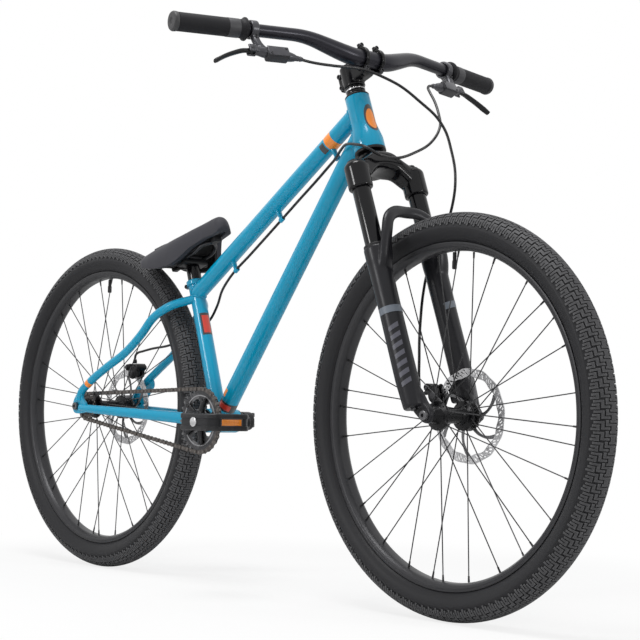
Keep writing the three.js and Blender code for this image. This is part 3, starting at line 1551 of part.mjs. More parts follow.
function handlebar() {
  const straight = new Vector3(barCentre.x, barStraightHalf, barCentre.z);
  const half = new THREE.CurvePath();
  const lowBend = straight.clone().lerp(barBend, barBendShare);
  const highBend = straight.clone().lerp(barBend, 1 - barBendShare);
  const innerStart = new Vector3(barCentre.x, barStraightHalf * (1 - barBendShare), barCentre.z);
  const outerEnd = barBend.clone().addScaledVector(barOut, barStraightHalf * barBendShare * 2);
  half.add(new THREE.LineCurve3(barCentre.clone(), innerStart));
  half.add(new THREE.QuadraticBezierCurve3(innerStart, straight, lowBend));
  half.add(new THREE.LineCurve3(lowBend, highBend));
  half.add(new THREE.QuadraticBezierCurve3(highBend, barBend, outerEnd));
  half.add(new THREE.LineCurve3(outerEnd, barEnd));
  const bendShares = Array.from({ length: barStations }, (_, i) => (i / barStations) * barTaperShares[1]);
  const stations = [...bendShares, 1].map((share) => {
    const at = half.getPointAt(share);
    const thin = THREE.MathUtils.smoothstep(share, barTaperShares[0] / 2, barTaperShares[1] * 0.8);
    const radius = lerp(barClampRadius, barRadius, thin);
    return { at, wide: radius, tall: radius };
  });
  const other = stations.slice(1).map(({ at, wide, tall }) => {
    const across = new Vector3(at.x, -at.y, at.z);
    return { at: across, wide, tall };
  });
  return sweep([...other.reverse(), ...stations], smallSides, barWall);
}
addPiece(steering, "handlebar", handlebar(), satinCharcoal);

// Grip and brake lever at the bar's left end: X along the lever, Z out along the bar
const gripStart = barEnd.clone().addScaledVector(barOut, gripEndWall + seatGap - gripLength);
const leverLine = new Vector3(Math.sin(radians(leverTurn)), 0, -Math.cos(radians(leverTurn)));
leverLine.addScaledVector(barOut, -leverLine.dot(barOut)).normalize();
const leverHinge = new Vector3().crossVectors(barOut, leverLine);
const barEndFrame = new Matrix4().makeBasis(leverLine, leverHinge, barOut).setPosition(gripStart);
const barBore = around(barRadius, tubeSides);

function grip() {
  return turnedUp(
    [
      [0, gripLength],
      [gripEndRadius, gripLength],
      [gripEndRadius, gripLength - gripEndWidth],
      [gripRadius, gripLength - gripEndWidth],
      [gripRadius, gripFlangeWidth],
      [gripFlangeRadius, gripFlangeWidth],
      [gripFlangeRadius, 0],
      [barBore, 0],
      [barBore, gripLength - gripEndWall],
      [0, gripLength - gripEndWall],
    ],
    tubeSides,
  );
}

const leverPivot = new Vector3(leverDrop, 0, leverPivotOut);
const hingeRod = (radius, half) =>
  crossRod(radius, -half, half, smallSides).translate(leverPivot.x, 0, leverPivot.z);
const bladeSlotHalf = leverBladeThickness / 2 + seatGap;
const earHalf = bladeSlotHalf + leverEarThickness;

function leverBody() {
  const clampHigh = -leverClampInset + leverClampWidth;
  const clampOuter = barBore + leverClampWall;
  const clamp = rod(clampOuter, -leverClampInset, clampHigh, tubeSides);
  const neckAlong = -leverClampInset + leverClampWidth / 2;
  const cylinderFrom = new Vector3(leverDrop, 0, leverPivotOut - leverEarRadius);
  const cylinderTo = new Vector3(leverDrop + leverCylinderDrop, 0, leverPivotOut - leverCylinderLength);
  const cylinderRows = [
    [0, earHalf, leverEarRadius],
    [leverBarrelShares[0], leverCylinderRadius, leverCylinderRadius],
    [leverBarrelShares[1], leverCylinderRadius, leverCylinderRadius],
    [1, leverCollarRadius, leverCollarRadius],
  ];
  const cylinderStations = cylinderRows.map(([share, wide, tall]) => {
    const at = cylinderFrom.clone().lerp(cylinderTo, share);
    return { at, wide, tall };
  });
  const cylinder = sweep(cylinderStations, smallSides, 0, forward);
  const neckFrom = new Vector3(barBore + leverClampWall / 2, 0, neckAlong);
  const neckTo = new Vector3(leverDrop, 0, neckAlong - leverNeckRadius);
  const neck = aimed(rod(leverNeckRadius, 0, neckFrom.distanceTo(neckTo), smallSides), neckFrom, neckTo);
  const nose = rod(leverNoseRadius, -leverNoseLength / 2, leverNoseLength, boltSides);
  const noseTo = cylinderTo.clone().multiplyScalar(2).sub(cylinderFrom);
  const placedNose = aimed(nose, cylinderTo, noseTo);
  const earBlock = box(leverEarRadius * 2, earHalf * 2, leverEarRadius * 2);
  earBlock.translate(leverPivot.x, 0, leverPivot.z - leverEarRadius);
  const slotRadius = leverKnuckleRadius + runningGap * 2;
  const slotMouth = box(slotRadius * 2, bladeSlotHalf * 2, slotRadius * 2);
  slotMouth.translate(leverPivot.x, 0, leverPivot.z + slotRadius);
  const slot = join(hingeRod(slotRadius, bladeSlotHalf), slotMouth);
  const barHole = rod(barBore, -leverClampInset - overrun, clampHigh + overrun, tubeSides);
  const solidBody = join(clamp, neck, cylinder, placedNose, earBlock, hingeRod(leverEarRadius, earHalf));
  return join(cut(solidBody, barHole, slot), hingeRod(leverPinRadius, earHalf));
}

function leverBlade() {
  const stations = leverBladeShares.map(([out, drop], i) => ({
    at: new Vector3(leverPivot.x + leverBladeDrop * drop, 0, leverPivot.z + leverBladeReach * out),
    wide: i === leverBladeShares.length - 1 ? leverBladeTipRadius * 0.7 : leverBladeHalfWidth,
    tall: leverBladeHalfWidth,
  }));
  const knuckle = hingeRod(leverKnuckleRadius, leverBladeThickness / 2);
  const blade = join(knuckle, sweep(stations, boltSides, 0, forward));
  return cut(blade, hingeRod(leverPinRadius + seatGap, leverBladeThickness));
}

for (const [name, geometry, finish] of [
  ["grip", grip(), gripRubber],
  ["lever_body", leverBody(), satinCharcoal],
  ["lever_blade", leverBlade(), satinBlack],
]) {
  const left = geometry.applyMatrix4(barEndFrame);
  addPiece(steering, name + "_left", left, finish);
  addPiece(steering, name + "_right", mirrored(left), finish);
}

// Brake hoses along their real routes
const hoseStartSide = barHalfWidth - hoseStartInset;
const topTubeBelow = topTubeRear.clone().sub(topTubeFront).normalize().applyAxisAngle(leftward, -quarterTurn);
const frontCaliperPlace = steeringPoint(frontCaliperSpot.x, 0, frontCaliperSpot.z);
const nearBar = (side) => ([x, share, z]) => new Vector3(x, side * share * hoseStartSide, z).add(headTop);
const offFrom = (place) => ([x, y, z]) => new Vector3(x, y, z).add(place);
const alongTopTube = ([share, below]) =>
  topTubeFront.clone().lerp(topTubeRear, share).addScaledVector(topTubeBelow, below);

function hose(route, steps) {
  const section = new Shape(circlePoints(hoseRadius, hoseSides));
  const extrudePath = new THREE.CatmullRomCurve3(route);
  return facingOut(new THREE.ExtrudeGeometry(section, { steps, bevelEnabled: false, extrudePath }));
}
const frontHoseRoute = [
  ...frontHoseAtBar.map(nearBar(-1)),
  ...frontHoseAtHead.map(offFrom(headTop)),
  ...frontHoseAtCaliper.map(offFrom(frontCaliperPlace)),
];
const rearHoseRoute = [
  ...rearHoseAtBar.map(nearBar(1)),
  ...rearHoseAtHead.map(offFrom(headTop)),
  ...rearHoseAtTopTube.map(alongTopTube),
  ...rearHoseAtSeat.map(offFrom(topTubeRear)),
  ...rearHoseAtCaliper.map(offFrom(rearCaliperSpot)),
];
addPiece(bike, "front_hose", hose(frontHoseRoute, frontHoseSteps), satinBlack);
addPiece(bike, "rear_hose", hose(rearHoseRoute, rearHoseSteps), satinBlack);

export default bike;
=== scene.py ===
import bpy
import numpy as np
from mathutils import Matrix


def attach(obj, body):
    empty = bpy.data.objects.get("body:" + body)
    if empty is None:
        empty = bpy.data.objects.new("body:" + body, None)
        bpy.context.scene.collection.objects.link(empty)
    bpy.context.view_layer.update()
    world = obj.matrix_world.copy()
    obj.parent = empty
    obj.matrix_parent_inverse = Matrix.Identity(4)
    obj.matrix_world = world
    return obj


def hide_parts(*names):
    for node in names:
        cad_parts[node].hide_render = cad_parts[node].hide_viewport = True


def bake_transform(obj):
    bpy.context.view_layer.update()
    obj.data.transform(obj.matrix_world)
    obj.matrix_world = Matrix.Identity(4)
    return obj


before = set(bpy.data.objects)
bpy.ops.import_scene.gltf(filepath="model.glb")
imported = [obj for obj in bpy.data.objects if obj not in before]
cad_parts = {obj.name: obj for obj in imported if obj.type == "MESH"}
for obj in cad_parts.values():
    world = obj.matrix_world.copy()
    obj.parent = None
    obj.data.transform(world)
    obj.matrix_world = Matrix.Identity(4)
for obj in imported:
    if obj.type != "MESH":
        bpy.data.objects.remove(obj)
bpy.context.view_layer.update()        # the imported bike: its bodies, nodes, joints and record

# ---------------------------------------------------------------- Photographer's place
# A camera low beside the front wheel, on the rider's right, looking back along the bike.
# The bike stands in metres: X forward, Y the rider's left, Z up.
lens = bpy.data.cameras.new("photo_lens")
lens.sensor_width = 36
lens.lens = 91.1
camera = bpy.data.objects.new("photo_camera", lens)
bpy.context.scene.collection.objects.link(camera)
camera.matrix_world = Matrix((
    (0.65524, 0.02537, 0.75499, 2.37545),
    (0.75514, -0.04905, -0.65373, -1.90625),
    (0.02045, 0.99847, -0.05130, 0.35122),
    (0, 0, 0, 1),
))
bpy.context.scene.camera = camera
bpy.context.scene.view_settings.view_transform = "Standard"

# ---------------------------------------------------------------- Studio
# White paper sweep: a matt floor that keeps the bike's shadow near it and runs out to plain white,
# a white room, and three large soft lamps.
def feed(node, inputs):
    """Gives each listed input of a node a plain value, or a link from another node's output."""
    for socket, value in dict(inputs).items():
        if isinstance(value, bpy.types.NodeSocket):
            node.id_data.links.new(value, node.inputs[socket])
        else:
            node.inputs[socket].default_value = value
    return node


def node_in(tree, kind, inputs=(), **settings):
    """A node added to a tree, with its plain settings and its inputs fed."""
    made = tree.nodes.new(kind)
    for key, value in settings.items():
        setattr(made, key, value)
    return feed(made, inputs)


paper = bpy.data.materials.new("white_paper")
paper.use_nodes = True
tree = paper.node_tree
matt = feed(tree.nodes["Principled BSDF"], {
    "Base Color": (0.9, 0.9, 0.9, 1), "Roughness": 0.9, "Specular IOR Level": 0.1})
place = node_in(tree, "ShaderNodeTexCoord")
reach = node_in(tree, "ShaderNodeVectorMath", {0: place.outputs["Object"]}, operation="LENGTH")
fade = node_in(tree, "ShaderNodeMapRange", {
    "From Min": 0.7, "From Max": 1.3, "To Min": 0.8, "Value": reach.outputs["Value"]},
    interpolation_type="SMOOTHSTEP")
rays = node_in(tree, "ShaderNodeLightPath")
seen = node_in(tree, "ShaderNodeMath", {
    0: rays.outputs["Is Camera Ray"], 1: rays.outputs["Is Transmission Ray"]}, operation="MAXIMUM")
share = node_in(tree, "ShaderNodeMath", {0: seen.outputs[0], 1: fade.outputs["Result"]}, operation="MULTIPLY")
glow = node_in(tree, "ShaderNodeEmission", {"Strength": 1.0})
blend_in = node_in(tree, "ShaderNodeMixShader", {0: share.outputs[0], 1: matt.outputs[0], 2: glow.outputs[0]})
feed(tree.nodes["Material Output"], {"Surface": blend_in.outputs[0]})
sweep_mesh = bpy.data.meshes.new("paper_floor")
half = 9.0
sweep_mesh.from_pydata([(-half, -half, 0), (half, -half, 0), (half, half, 0), (-half, half, 0)], [],
                       [(0, 1, 2, 3)])
floor = bpy.data.objects.new("paper_floor", sweep_mesh)
floor.data.materials.append(paper)
bpy.context.scene.collection.objects.link(floor)

room = bpy.data.worlds.new("white_room")
room.use_nodes = True
tree = room.node_tree
tree.nodes.clear()
rays = node_in(tree, "ShaderNodeLightPath")
seen = node_in(tree, "ShaderNodeMath", {
    0: rays.outputs["Is Camera Ray"], 1: rays.outputs["Is Glossy Ray"]}, operation="MAXIMUM")
through = node_in(tree, "ShaderNodeMath", {
    0: seen.outputs[0], 1: rays.outputs["Is Transmission Ray"]}, operation="MAXIMUM")
strength = node_in(tree, "ShaderNodeMapRange", {"To Min": 0.36, "To Max": 1.0, "Value": through.outputs[0]})
air = node_in(tree, "ShaderNodeBackground", {"Color": (1, 1, 1, 1), "Strength": strength.outputs["Result"]})
node_in(tree, "ShaderNodeOutputWorld", {"Surface": air.outputs[0]})
bpy.context.scene.world = room


def soft_lamp(name, spot, target, size, power):
    """A square soft box at a spot, its face turned to a target; metres and watts."""
    data = bpy.data.lights.new(name, "AREA")
    data.size = size
    data.energy = power
    lamp = bpy.data.objects.new(name, data)
    away = np.array(spot, float) - np.array(target, float)
    away /= np.linalg.norm(away)
    right = np.cross((0, 0, 1), away)
    right /= np.linalg.norm(right)
    up = np.cross(away, right)
    turn = np.eye(4)
    turn[:3, 0], turn[:3, 1], turn[:3, 2], turn[:3, 3] = right, up, away, spot
    lamp.matrix_world = Matrix(turn.tolist())
    bpy.context.scene.collection.objects.link(lamp)


soft_lamp("high_box", (0.3, -0.6, 3.2), (0, 0, 0.5), 1.3, 60)
soft_lamp("right_box", (-0.6, -3.4, 1.6), (0, 0, 0.5), 0.7, 34)
soft_lamp("front_box", (3.4, 0.9, 1.4), (0, 0, 0.5), 0.6, 22)

# ---------------------------------------------------------------- Frame
# Welded steel tubes in bright cyan enamel under clear lacquer: head, top, down and seat tube, bottom
# bracket shell, two pairs of stays and the dropout plates. The welds keep their rippled beads.
millimetre = 0.001
head_top = np.array([262.5, 0, 892])
head_axes = np.array([[0.937889, 0, 0.346936], [0, 1, 0], [-0.346936, 0, 0.937889]])
bottom_bracket = np.array([-114, 0, 313.5])
seat_axes = np.array([[0.948324, 0, 0.317305], [0, 1, 0], [-0.317305, 0, 0.948324]])
rear_axle_place = np.array([-509.5, 0, 335])
front_axle_place = np.array([509.5, 0, 335])
world_axes = np.eye(3)


def unit(vector):
    """A vector, or each row of a table of them, brought to length one."""
    vector = np.asarray(vector, float)
    return vector / np.linalg.norm(vector, axis=-1, keepdims=True)


def moved(shape, origin, axes=world_axes):
    """A shape carried from its own frame to an origin, its X, Y and Z laid along the three axes."""
    points, faces = shape
    return points @ np.asarray(axes, float) + np.asarray(origin, float), faces


def other_side(shape):
    """The same shape on the bike's other side: Y changes sign and the faces turn over."""
    points, faces = shape
    return points * [1, -1, 1], [f[:, ::-1] for f in faces]


def outward(points, faces):
    """Turns every face over if the signed volume, the sum of a.(b x c)/6 over the fans, is below zero."""
    total = 0.0
    for f in faces:
        for k in range(1, f.shape[1] - 1):
            a, b, c = points[f[:, 0]], points[f[:, k]], points[f[:, k + 1]]
            total += np.einsum("ij,ij->", a, np.cross(b, c))
    return (points, faces) if total >= 0 else (points, [f[:, ::-1] for f in faces])


def skin(grid, round_trip=False):
    """Quads between the neighbouring points of a grid [ring, place, xyz]. Each ring closes on itself;
    the last ring joins the first on a round trip, or else each end ring is filled by one face."""
    rings, places = grid.shape[:2]
    i, j = np.meshgrid(np.arange(rings - (not round_trip)), np.arange(places), indexing="ij")
    i2, j2 = (i + 1) % rings, (j + 1) % places
    quads = np.stack([i * places + j, i * places + j2, i2 * places + j2, i2 * places + j], -1)
    faces = [quads.reshape(-1, 4)]
    if not round_trip:
        faces.append(np.arange(places)[None, ::-1])
        faces.append((rings - 1) * places + np.arange(places)[None])
    return outward(grid.reshape(-1, 3), faces)


def eased(corners, size, closed=False):
    """A line of corners with each corner c cut back by at most size and bridged by the curve
    (1-t)^2 a + 2t(1-t) c + t^2 b between the cut points a and b."""
    p = np.asarray(corners, float)
    before, after = np.roll(p, 1, 0), np.roll(p, -1, 0)
    to_before, to_after = before - p, after - p
    near = np.linalg.norm(to_before, axis=1, keepdims=True)
    far = np.linalg.norm(to_after, axis=1, keepdims=True)
    back = np.minimum(size, np.minimum(near, far) * 0.45)
    a = p + to_before / np.maximum(near, 1e-9) * back
    b = p + to_after / np.maximum(far, 1e-9) * back
    t = np.array([0, 0.33, 0.67, 1])[None, :, None]
    curve = (1 - t) ** 2 * a[:, None] + 2 * t * (1 - t) * p[:, None] + t ** 2 * b[:, None]
    if closed:
        return curve.reshape(-1, p.shape[1])
    return np.vstack([p[:1], curve[1:-1].reshape(-1, p.shape[1]), p[-1:]])


def turned(profile, origin=(0, 0, 0), axis=(0, 0, 1), sides=64, joined=False):
    """A lathe shape: each [place, radius] of the profile becomes a ring, at that place along the axis."""
    profile = np.asarray(profile, float)
    axis = unit(axis)
    helper = np.array([1.0, 0, 0]) if abs(axis[0]) < 0.7 else np.array([0, 0, 1.0])
    across = unit(np.cross(axis, helper))
    other = np.cross(axis, across)
    angle = np.linspace(0, 2 * np.pi, sides, endpoint=False)
    spoke = np.cos(angle)[:, None] * across + np.sin(angle)[:, None] * other
    radius = np.maximum(profile[:, 1], 0.02)
    grid = np.asarray(origin) + profile[:, None, :1] * axis + radius[:, None, None] * spoke
    return skin(grid, round_trip=joined)


def lathed(corners, ease, spot=(0, 0, 0), axis=(0, 0, 1), sides=64, tube=False):
    """A lathe shape with eased corners; a tube's profile closes on itself."""
    return turned(eased(corners, ease, closed=tube), spot, axis, sides, joined=tube)


def ring(low, high, inner, outer, ease=0.5, spot=(0, 0, 0), axis=(0, 0, 1), sides=64):
    """A collar: a rectangle of wall with eased corners, turned about the axis."""
    return lathed([[low, inner], [low, outer], [high, outer], [high, inner]], ease, spot, axis, sides,
                  tube=True)


def solid_round(low, high, radius, ease, spot=(0, 0, 0), axis=(0, 0, 1), sides=64):
    """A solid round: a rectangle from the axis out to the radius, eased and turned about the axis."""
    return lathed([[low, 0.02], [low, radius], [high, radius], [high, 0.02]], ease, spot, axis, sides)


def smooth_line(points, count):
    """A curve through the points at even steps: on each stretch of length h, the cubic that meets both
    points with slopes averaged from the neighbouring stretches."""
    p = np.asarray(points, float)
    h = np.linalg.norm(np.diff(p[:, :3], axis=0), axis=1)[:, None]
    run = np.concatenate([[0], np.cumsum(h[:, 0])])
    slope = np.diff(p, axis=0) / h
    middle = (slope[:-1] * h[1:] + slope[1:] * h[:-1]) / (h[1:] + h[:-1])
    slopes = np.vstack([slope[:1], middle, slope[-1:]])
    t = np.linspace(0, run[-1], count) if np.isscalar(count) else np.asarray(count) * run[-1]
    k = np.clip(np.searchsorted(run, t, "right") - 1, 0, len(h) - 1)
    u = ((t - run[k]) / h[k, 0])[:, None]
    return ((2 * u ** 3 - 3 * u ** 2 + 1) * p[k] + (u ** 3 - 2 * u ** 2 + u) * h[k] * slopes[k]
            + (3 * u ** 2 - 2 * u ** 3) * p[k + 1] + (u ** 3 - u ** 2) * h[k] * slopes[k + 1])


def carried(path, outline, reference=None, round_trip=False):
    """A section [across, rise] carried along a path. Across is reference x tangent; with no reference
    it is handed on from one station to the next, so that the section never twists."""
    path = np.asarray(path, float)
    if round_trip:
        tangent = unit(np.roll(path, -1, 0) - np.roll(path, 1, 0))
    else:
        tangent = unit(np.gradient(path, axis=0))
    if reference is None:
        least = np.eye(3)[np.argmin(np.abs(tangent[0]))]
        across = [unit(np.cross(least, tangent[0]))]
        for step in tangent[1:]:
            across.append(unit(across[-1] - np.dot(across[-1], step) * step))
        across = np.array(across)
    else:
        across = unit(np.cross(reference, tangent))
    rise = np.cross(tangent, across)
    outline = np.asarray(outline, float)
    if outline.ndim == 2:
        outline = np.broadcast_to(outline, (len(path),) + outline.shape)
    grid = path[:, None] + across[:, None] * outline[..., :1] + rise[:, None] * outline[..., 1:]
    return skin(grid, round_trip=round_trip)


def oval(half_width, half_height=None, sides=40):
    """A ring of points on an oval; with arrays of half sizes, one ring for each."""
    angle = np.linspace(0, 2 * np.pi, sides, endpoint=False)
    wide = np.asarray(half_width, float)[..., None]
    tall = wide if half_height is None else np.asarray(half_height, float)[..., None]
    return np.stack([wide * np.cos(angle), tall * np.sin(angle)], -1)


def weld(end, direction, radius, line, line_axis, line_radius, bead=2.1, ripples=44):
    """A weld bead where a round tube, running to its end, meets a round one: each ray of its wall meets
    the other tube at the nearer root of |across the axis| = radius, and a small rippled round is
    carried along the ring of those points."""
    direction, line_axis = unit(direction), unit(line_axis)
    helper = unit(np.cross(direction, (0, 1, 0)))
    angle = np.linspace(0, 2 * np.pi, ripples * 5, endpoint=False)[:, None]
    foot = np.asarray(end) - direction * 120
    start = foot + radius * (np.cos(angle) * helper + np.sin(angle) * np.cross(direction, helper))
    flat = lambda v: v - (v @ line_axis)[..., None] * line_axis
    w, d = flat(start - np.asarray(line)), flat(direction[None])[0]
    b, c = w @ d, np.einsum("ij,ij->i", w, w) - line_radius ** 2
    reach = (-b - np.sqrt(np.maximum(b * b - (d @ d) * c, 0))) / (d @ d)
    ring = start + reach[:, None] * direction
    size = bead * (1 + 0.13 * np.cos(angle[:, 0] * ripples))
    return carried(ring, oval(size, sides=10), reference=direction, round_trip=True)


def plate(outline, low, high, ease=0.6):
    """A flat piece: an outline in X and Z, from low to high along Y, its edges eased by an inset ring."""
    p = np.asarray(outline, float)
    along = unit(np.roll(p, -1, 0) - np.roll(p, 1, 0))
    normal = np.stack([along[:, 1], -along[:, 0]], -1)
    area = np.sum(p[:, 0] * np.roll(p[:, 1], -1) - p[:, 1] * np.roll(p[:, 0], -1))
    inner = p - normal * ease * np.sign(area)
    rows = [(inner, low), (p, low + ease), (p, high - ease), (inner, high)]
    return skin(np.stack([np.stack([q[:, 0], np.full(len(q), y), q[:, 1]], -1) for q, y in rows]))


def together(*shapes):
    """Several shapes as one, their faces renumbered."""
    points, faces, start = [], [], 0
    for p, f in shapes:
        points.append(p)
        faces += [one + start for one in f]
        start += len(p)
    return np.vstack(points), faces


def mesh_of(name, shapes, slots=None):
    """A mesh in metres from shapes in millimetres; slots gives each shape's material number."""
    points, faces = together(*shapes)
    marks = []
    for number, shape in zip(slots or [0] * len(shapes), shapes):
        marks += [number] * sum(len(f) for f in shape[1])
    mesh = bpy.data.meshes.new(name)
    mesh.vertices.add(len(points))
    mesh.vertices.foreach_set("co", (points * millimetre).astype(np.float32).ravel())
    corners = np.concatenate([f.ravel() for f in faces])
    sizes = np.concatenate([np.full(len(f), f.shape[1]) for f in faces])
    mesh.loops.add(len(corners))
    mesh.loops.foreach_set("vertex_index", corners.astype(np.int32))
    mesh.polygons.add(len(sizes))
    mesh.polygons.foreach_set("loop_start", np.concatenate([[0], np.cumsum(sizes)[:-1]]).astype(np.int32))
    mesh.polygons.foreach_set("material_index", np.array(marks, np.int32))
    mesh.update(calc_edges=True)
    return mesh


def piece(name, body, parts, nodes=(), sharp=38, place=lambda shape: shape):
    """One finished piece: [(material, shape, shape...), ...], each shape carried to its place, in a single
    mesh, smooth but for edges sharper than the angle, riding on its body and standing for the nodes."""
    finishes = list(dict.fromkeys(part[0] for part in parts))
    slots = [finishes.index(part[0]) for part in parts for _ in part[1:]]
    mesh = mesh_of(name, [place(shape) for part in parts for shape in part[1:]], slots)
    for material in finishes:
        mesh.materials.append(material)
    mesh.shade_smooth()
    mesh.set_sharp_from_angle(angle=np.radians(sharp))
    made = bpy.data.objects.new(name, mesh)
    bpy.context.scene.collection.objects.link(made)
    if body:
        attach(made, body)
    if nodes:
        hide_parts(*nodes)
    return made


def new_group(name, inputs, outputs):
    """An empty shader group with named sockets: [(name, kind, value)] in and [(name, kind)] out."""
    tree = bpy.data.node_groups.new(name, "ShaderNodeTree")
    for label, kind, value in inputs:
        tree.interface.new_socket(name=label, in_out="INPUT",
                                  socket_type="NodeSocket" + kind).default_value = value
    for label, kind in outputs:
        tree.interface.new_socket(name=label, in_out="OUTPUT", socket_type="NodeSocket" + kind)
    return tree, tree.nodes.new("NodeGroupInput"), tree.nodes.new("NodeGroupOutput")


# Slow cloudy change of colour and gloss, as in any sprayed, anodised or moulded surface
mottle, enter, leave = new_group(
    "mottle",
    [("Colour", "Color", (0.5, 0.5, 0.5, 1)), ("Tint", "Float", 0.06), ("Size", "Float", 30.0),
     ("Roughness", "Float", 0.4), ("Spread", "Float", 0.08)],
    [("Colour", "Color"), ("Roughness", "Float")],
)
where = node_in(mottle, "ShaderNodeTexCoord")
cloud = node_in(mottle, "ShaderNodeTexNoise", {
    "Detail": 4, "Vector": where.outputs["Object"], "Scale": enter.outputs["Size"]})
swing = node_in(mottle, "ShaderNodeMath", {0: cloud.outputs["Fac"], 1: 0.5}, operation="SUBTRACT")
tinted = node_in(mottle, "ShaderNodeMath", {
    0: swing.outputs[0], 1: enter.outputs["Tint"], 2: 1.0}, operation="MULTIPLY_ADD")
shade = node_in(mottle, "ShaderNodeVectorMath", {
    0: enter.outputs["Colour"], "Scale": tinted.outputs[0]}, operation="SCALE")
rough = node_in(mottle, "ShaderNodeMath", {
    0: swing.outputs[0], 1: enter.outputs["Spread"], 2: enter.outputs["Roughness"]}, operation="MULTIPLY_ADD")
feed(leave, {"Colour": shade.outputs[0], "Roughness": rough.outputs[0]})

# Fine grain of a surface: orange peel in paint, blasting in alloy, texture in moulded plastic
grain, enter, leave = new_group(
    "grain",
    [("Size", "Float", 900.0), ("Depth", "Float", 0.1), ("Height", "Float", 0.0002)],
    [("Normal", "Vector")],
)
where = node_in(grain, "ShaderNodeTexCoord")
speck = node_in(grain, "ShaderNodeTexNoise", {
    "Detail": 2, "Vector": where.outputs["Object"], "Scale": enter.outputs["Size"]})
lift = node_in(grain, "ShaderNodeBump", {
    "Strength": enter.outputs["Depth"], "Distance": enter.outputs["Height"], "Height": speck.outputs["Fac"]})
feed(leave, {"Normal": lift.outputs["Normal"]})

# Rubbed edges: the paler metal or plastic that shows on corners, broken up by a noise
rubbed, enter, leave = new_group(
    "rubbed_edges",
    [("Colour", "Color", (0.1, 0.1, 0.1, 1)), ("Worn", "Color", (0.4, 0.4, 0.4, 1)),
     ("Amount", "Float", 0.4)],
    [("Colour", "Color"), ("Mask", "Float")],
)
where = node_in(rubbed, "ShaderNodeTexCoord")
ridge = node_in(rubbed, "ShaderNodeNewGeometry")
patch = node_in(rubbed, "ShaderNodeTexNoise", {"Scale": 130, "Vector": where.outputs["Object"]})
height = node_in(rubbed, "ShaderNodeMath", {
    0: patch.outputs["Fac"], 1: 0.12, 2: ridge.outputs["Pointiness"]}, operation="MULTIPLY_ADD")
band = node_in(rubbed, "ShaderNodeMapRange", {"From Min": 0.60, "From Max": 0.72, "Value": height.outputs[0]})
amount = node_in(rubbed, "ShaderNodeMath", {
    0: band.outputs["Result"], 1: enter.outputs["Amount"]}, operation="MULTIPLY")
worn = node_in(rubbed, "ShaderNodeMix", {
    "Factor": amount.outputs[0], 6: enter.outputs["Colour"], 7: enter.outputs["Worn"]}, data_type="RGBA")
feed(leave, {"Colour": worn.outputs[2], "Mask": amount.outputs[0]})


def finish(name, colour, roughness, metallic=0.0, coat=0.0, tint=0.12, size=35.0, spread=0.08,
           grain_size=900.0, grain_depth=0.08, worn=None, wear=0.4, sheen=0.0, specular=0.5):
    """A finish: colour through rubbed edges and mottle, roughness through mottle, and a fine grain."""
    material = bpy.data.materials.new(name)
    material.use_nodes = True
    tree = material.node_tree
    base = (*colour, 1)
    if worn:
        rub = node_in(tree, "ShaderNodeGroup", {
            "Colour": base, "Worn": (*worn, 1), "Amount": wear}, node_tree=rubbed)
        base = rub.outputs["Colour"]
    clouds = node_in(tree, "ShaderNodeGroup", {
        "Colour": base, "Tint": tint * 2, "Size": size, "Roughness": roughness, "Spread": spread * 2},
        node_tree=mottle)
    fine = node_in(tree, "ShaderNodeGroup", {"Size": grain_size, "Depth": grain_depth}, node_tree=grain)
    feed(tree.nodes["Principled BSDF"], {
        "Base Color": clouds.outputs["Colour"], "Roughness": clouds.outputs["Roughness"],
        "Normal": fine.outputs["Normal"], "Metallic": metallic, "Specular IOR Level": specular,
        "Coat Weight": coat, "Coat Roughness": 0.05, "Sheen Weight": sheen})
    return material


cyan_enamel = finish("cyan_enamel", (0.0, 0.305, 0.5), 0.3, coat=0.5, tint=0.03, size=6, spread=0.03,
                     grain_size=120, grain_depth=0.0, specular=0.15)
orange_film = finish("orange_film", (0.9, 0.25, 0.008), 0.35, coat=0.6, tint=0.05)
black_film = finish("black_film", (0.012, 0.012, 0.014), 0.32, coat=0.6, tint=0.1)
red_film = finish("red_film", (0.6, 0.03, 0.01), 0.35, coat=0.6, tint=0.08)

head_radius, flare_radius, head_length = 22.0, 28.0, 105.0
flare_top, flare_drop = -50, 41
flare_wall = lambda share: head_radius + (flare_radius - head_radius) * (0.5 - 0.5 * np.cos(np.pi * share))
flare = np.linspace(0, 1, 14)
flare_rows = np.stack([flare_top - flare_drop * flare, flare_wall(flare)], -1)
head_rows = np.vstack([[[-7, 19.2], [-7, 20.3], [0, 20.3], [0, head_radius]], flare_rows,
                       [[-head_length, flare_radius], [-head_length, 25.3], [-97, 25.3], [-97, 19.2]]])
head_shape = lathed(head_rows, 0.7, head_top, head_axes[2], 96, tube=True)

top_front = np.array([270.83, 0, 869.49])
top_rear = np.array([-196.98, 0, 561.49])
top_line = unit(top_rear - top_front)
top_below = np.array([-top_line[2], 0, top_line[0]])
top_length = np.linalg.norm(top_rear - top_front)
top_radius, down_radius, seat_radius, shell_radius = 15.9, 17.45, 15.0, 23.0
seat_tube_length = 279.0
down_top = np.array([283.94, 0, 834.04])
seat_line = seat_axes[2]


def straight_tube(a, b, radius):
    """A round tube between two points, in forty rings."""
    return carried(np.linspace(a, b, 40), oval(radius, sides=56), reference=(0, 1, 0))


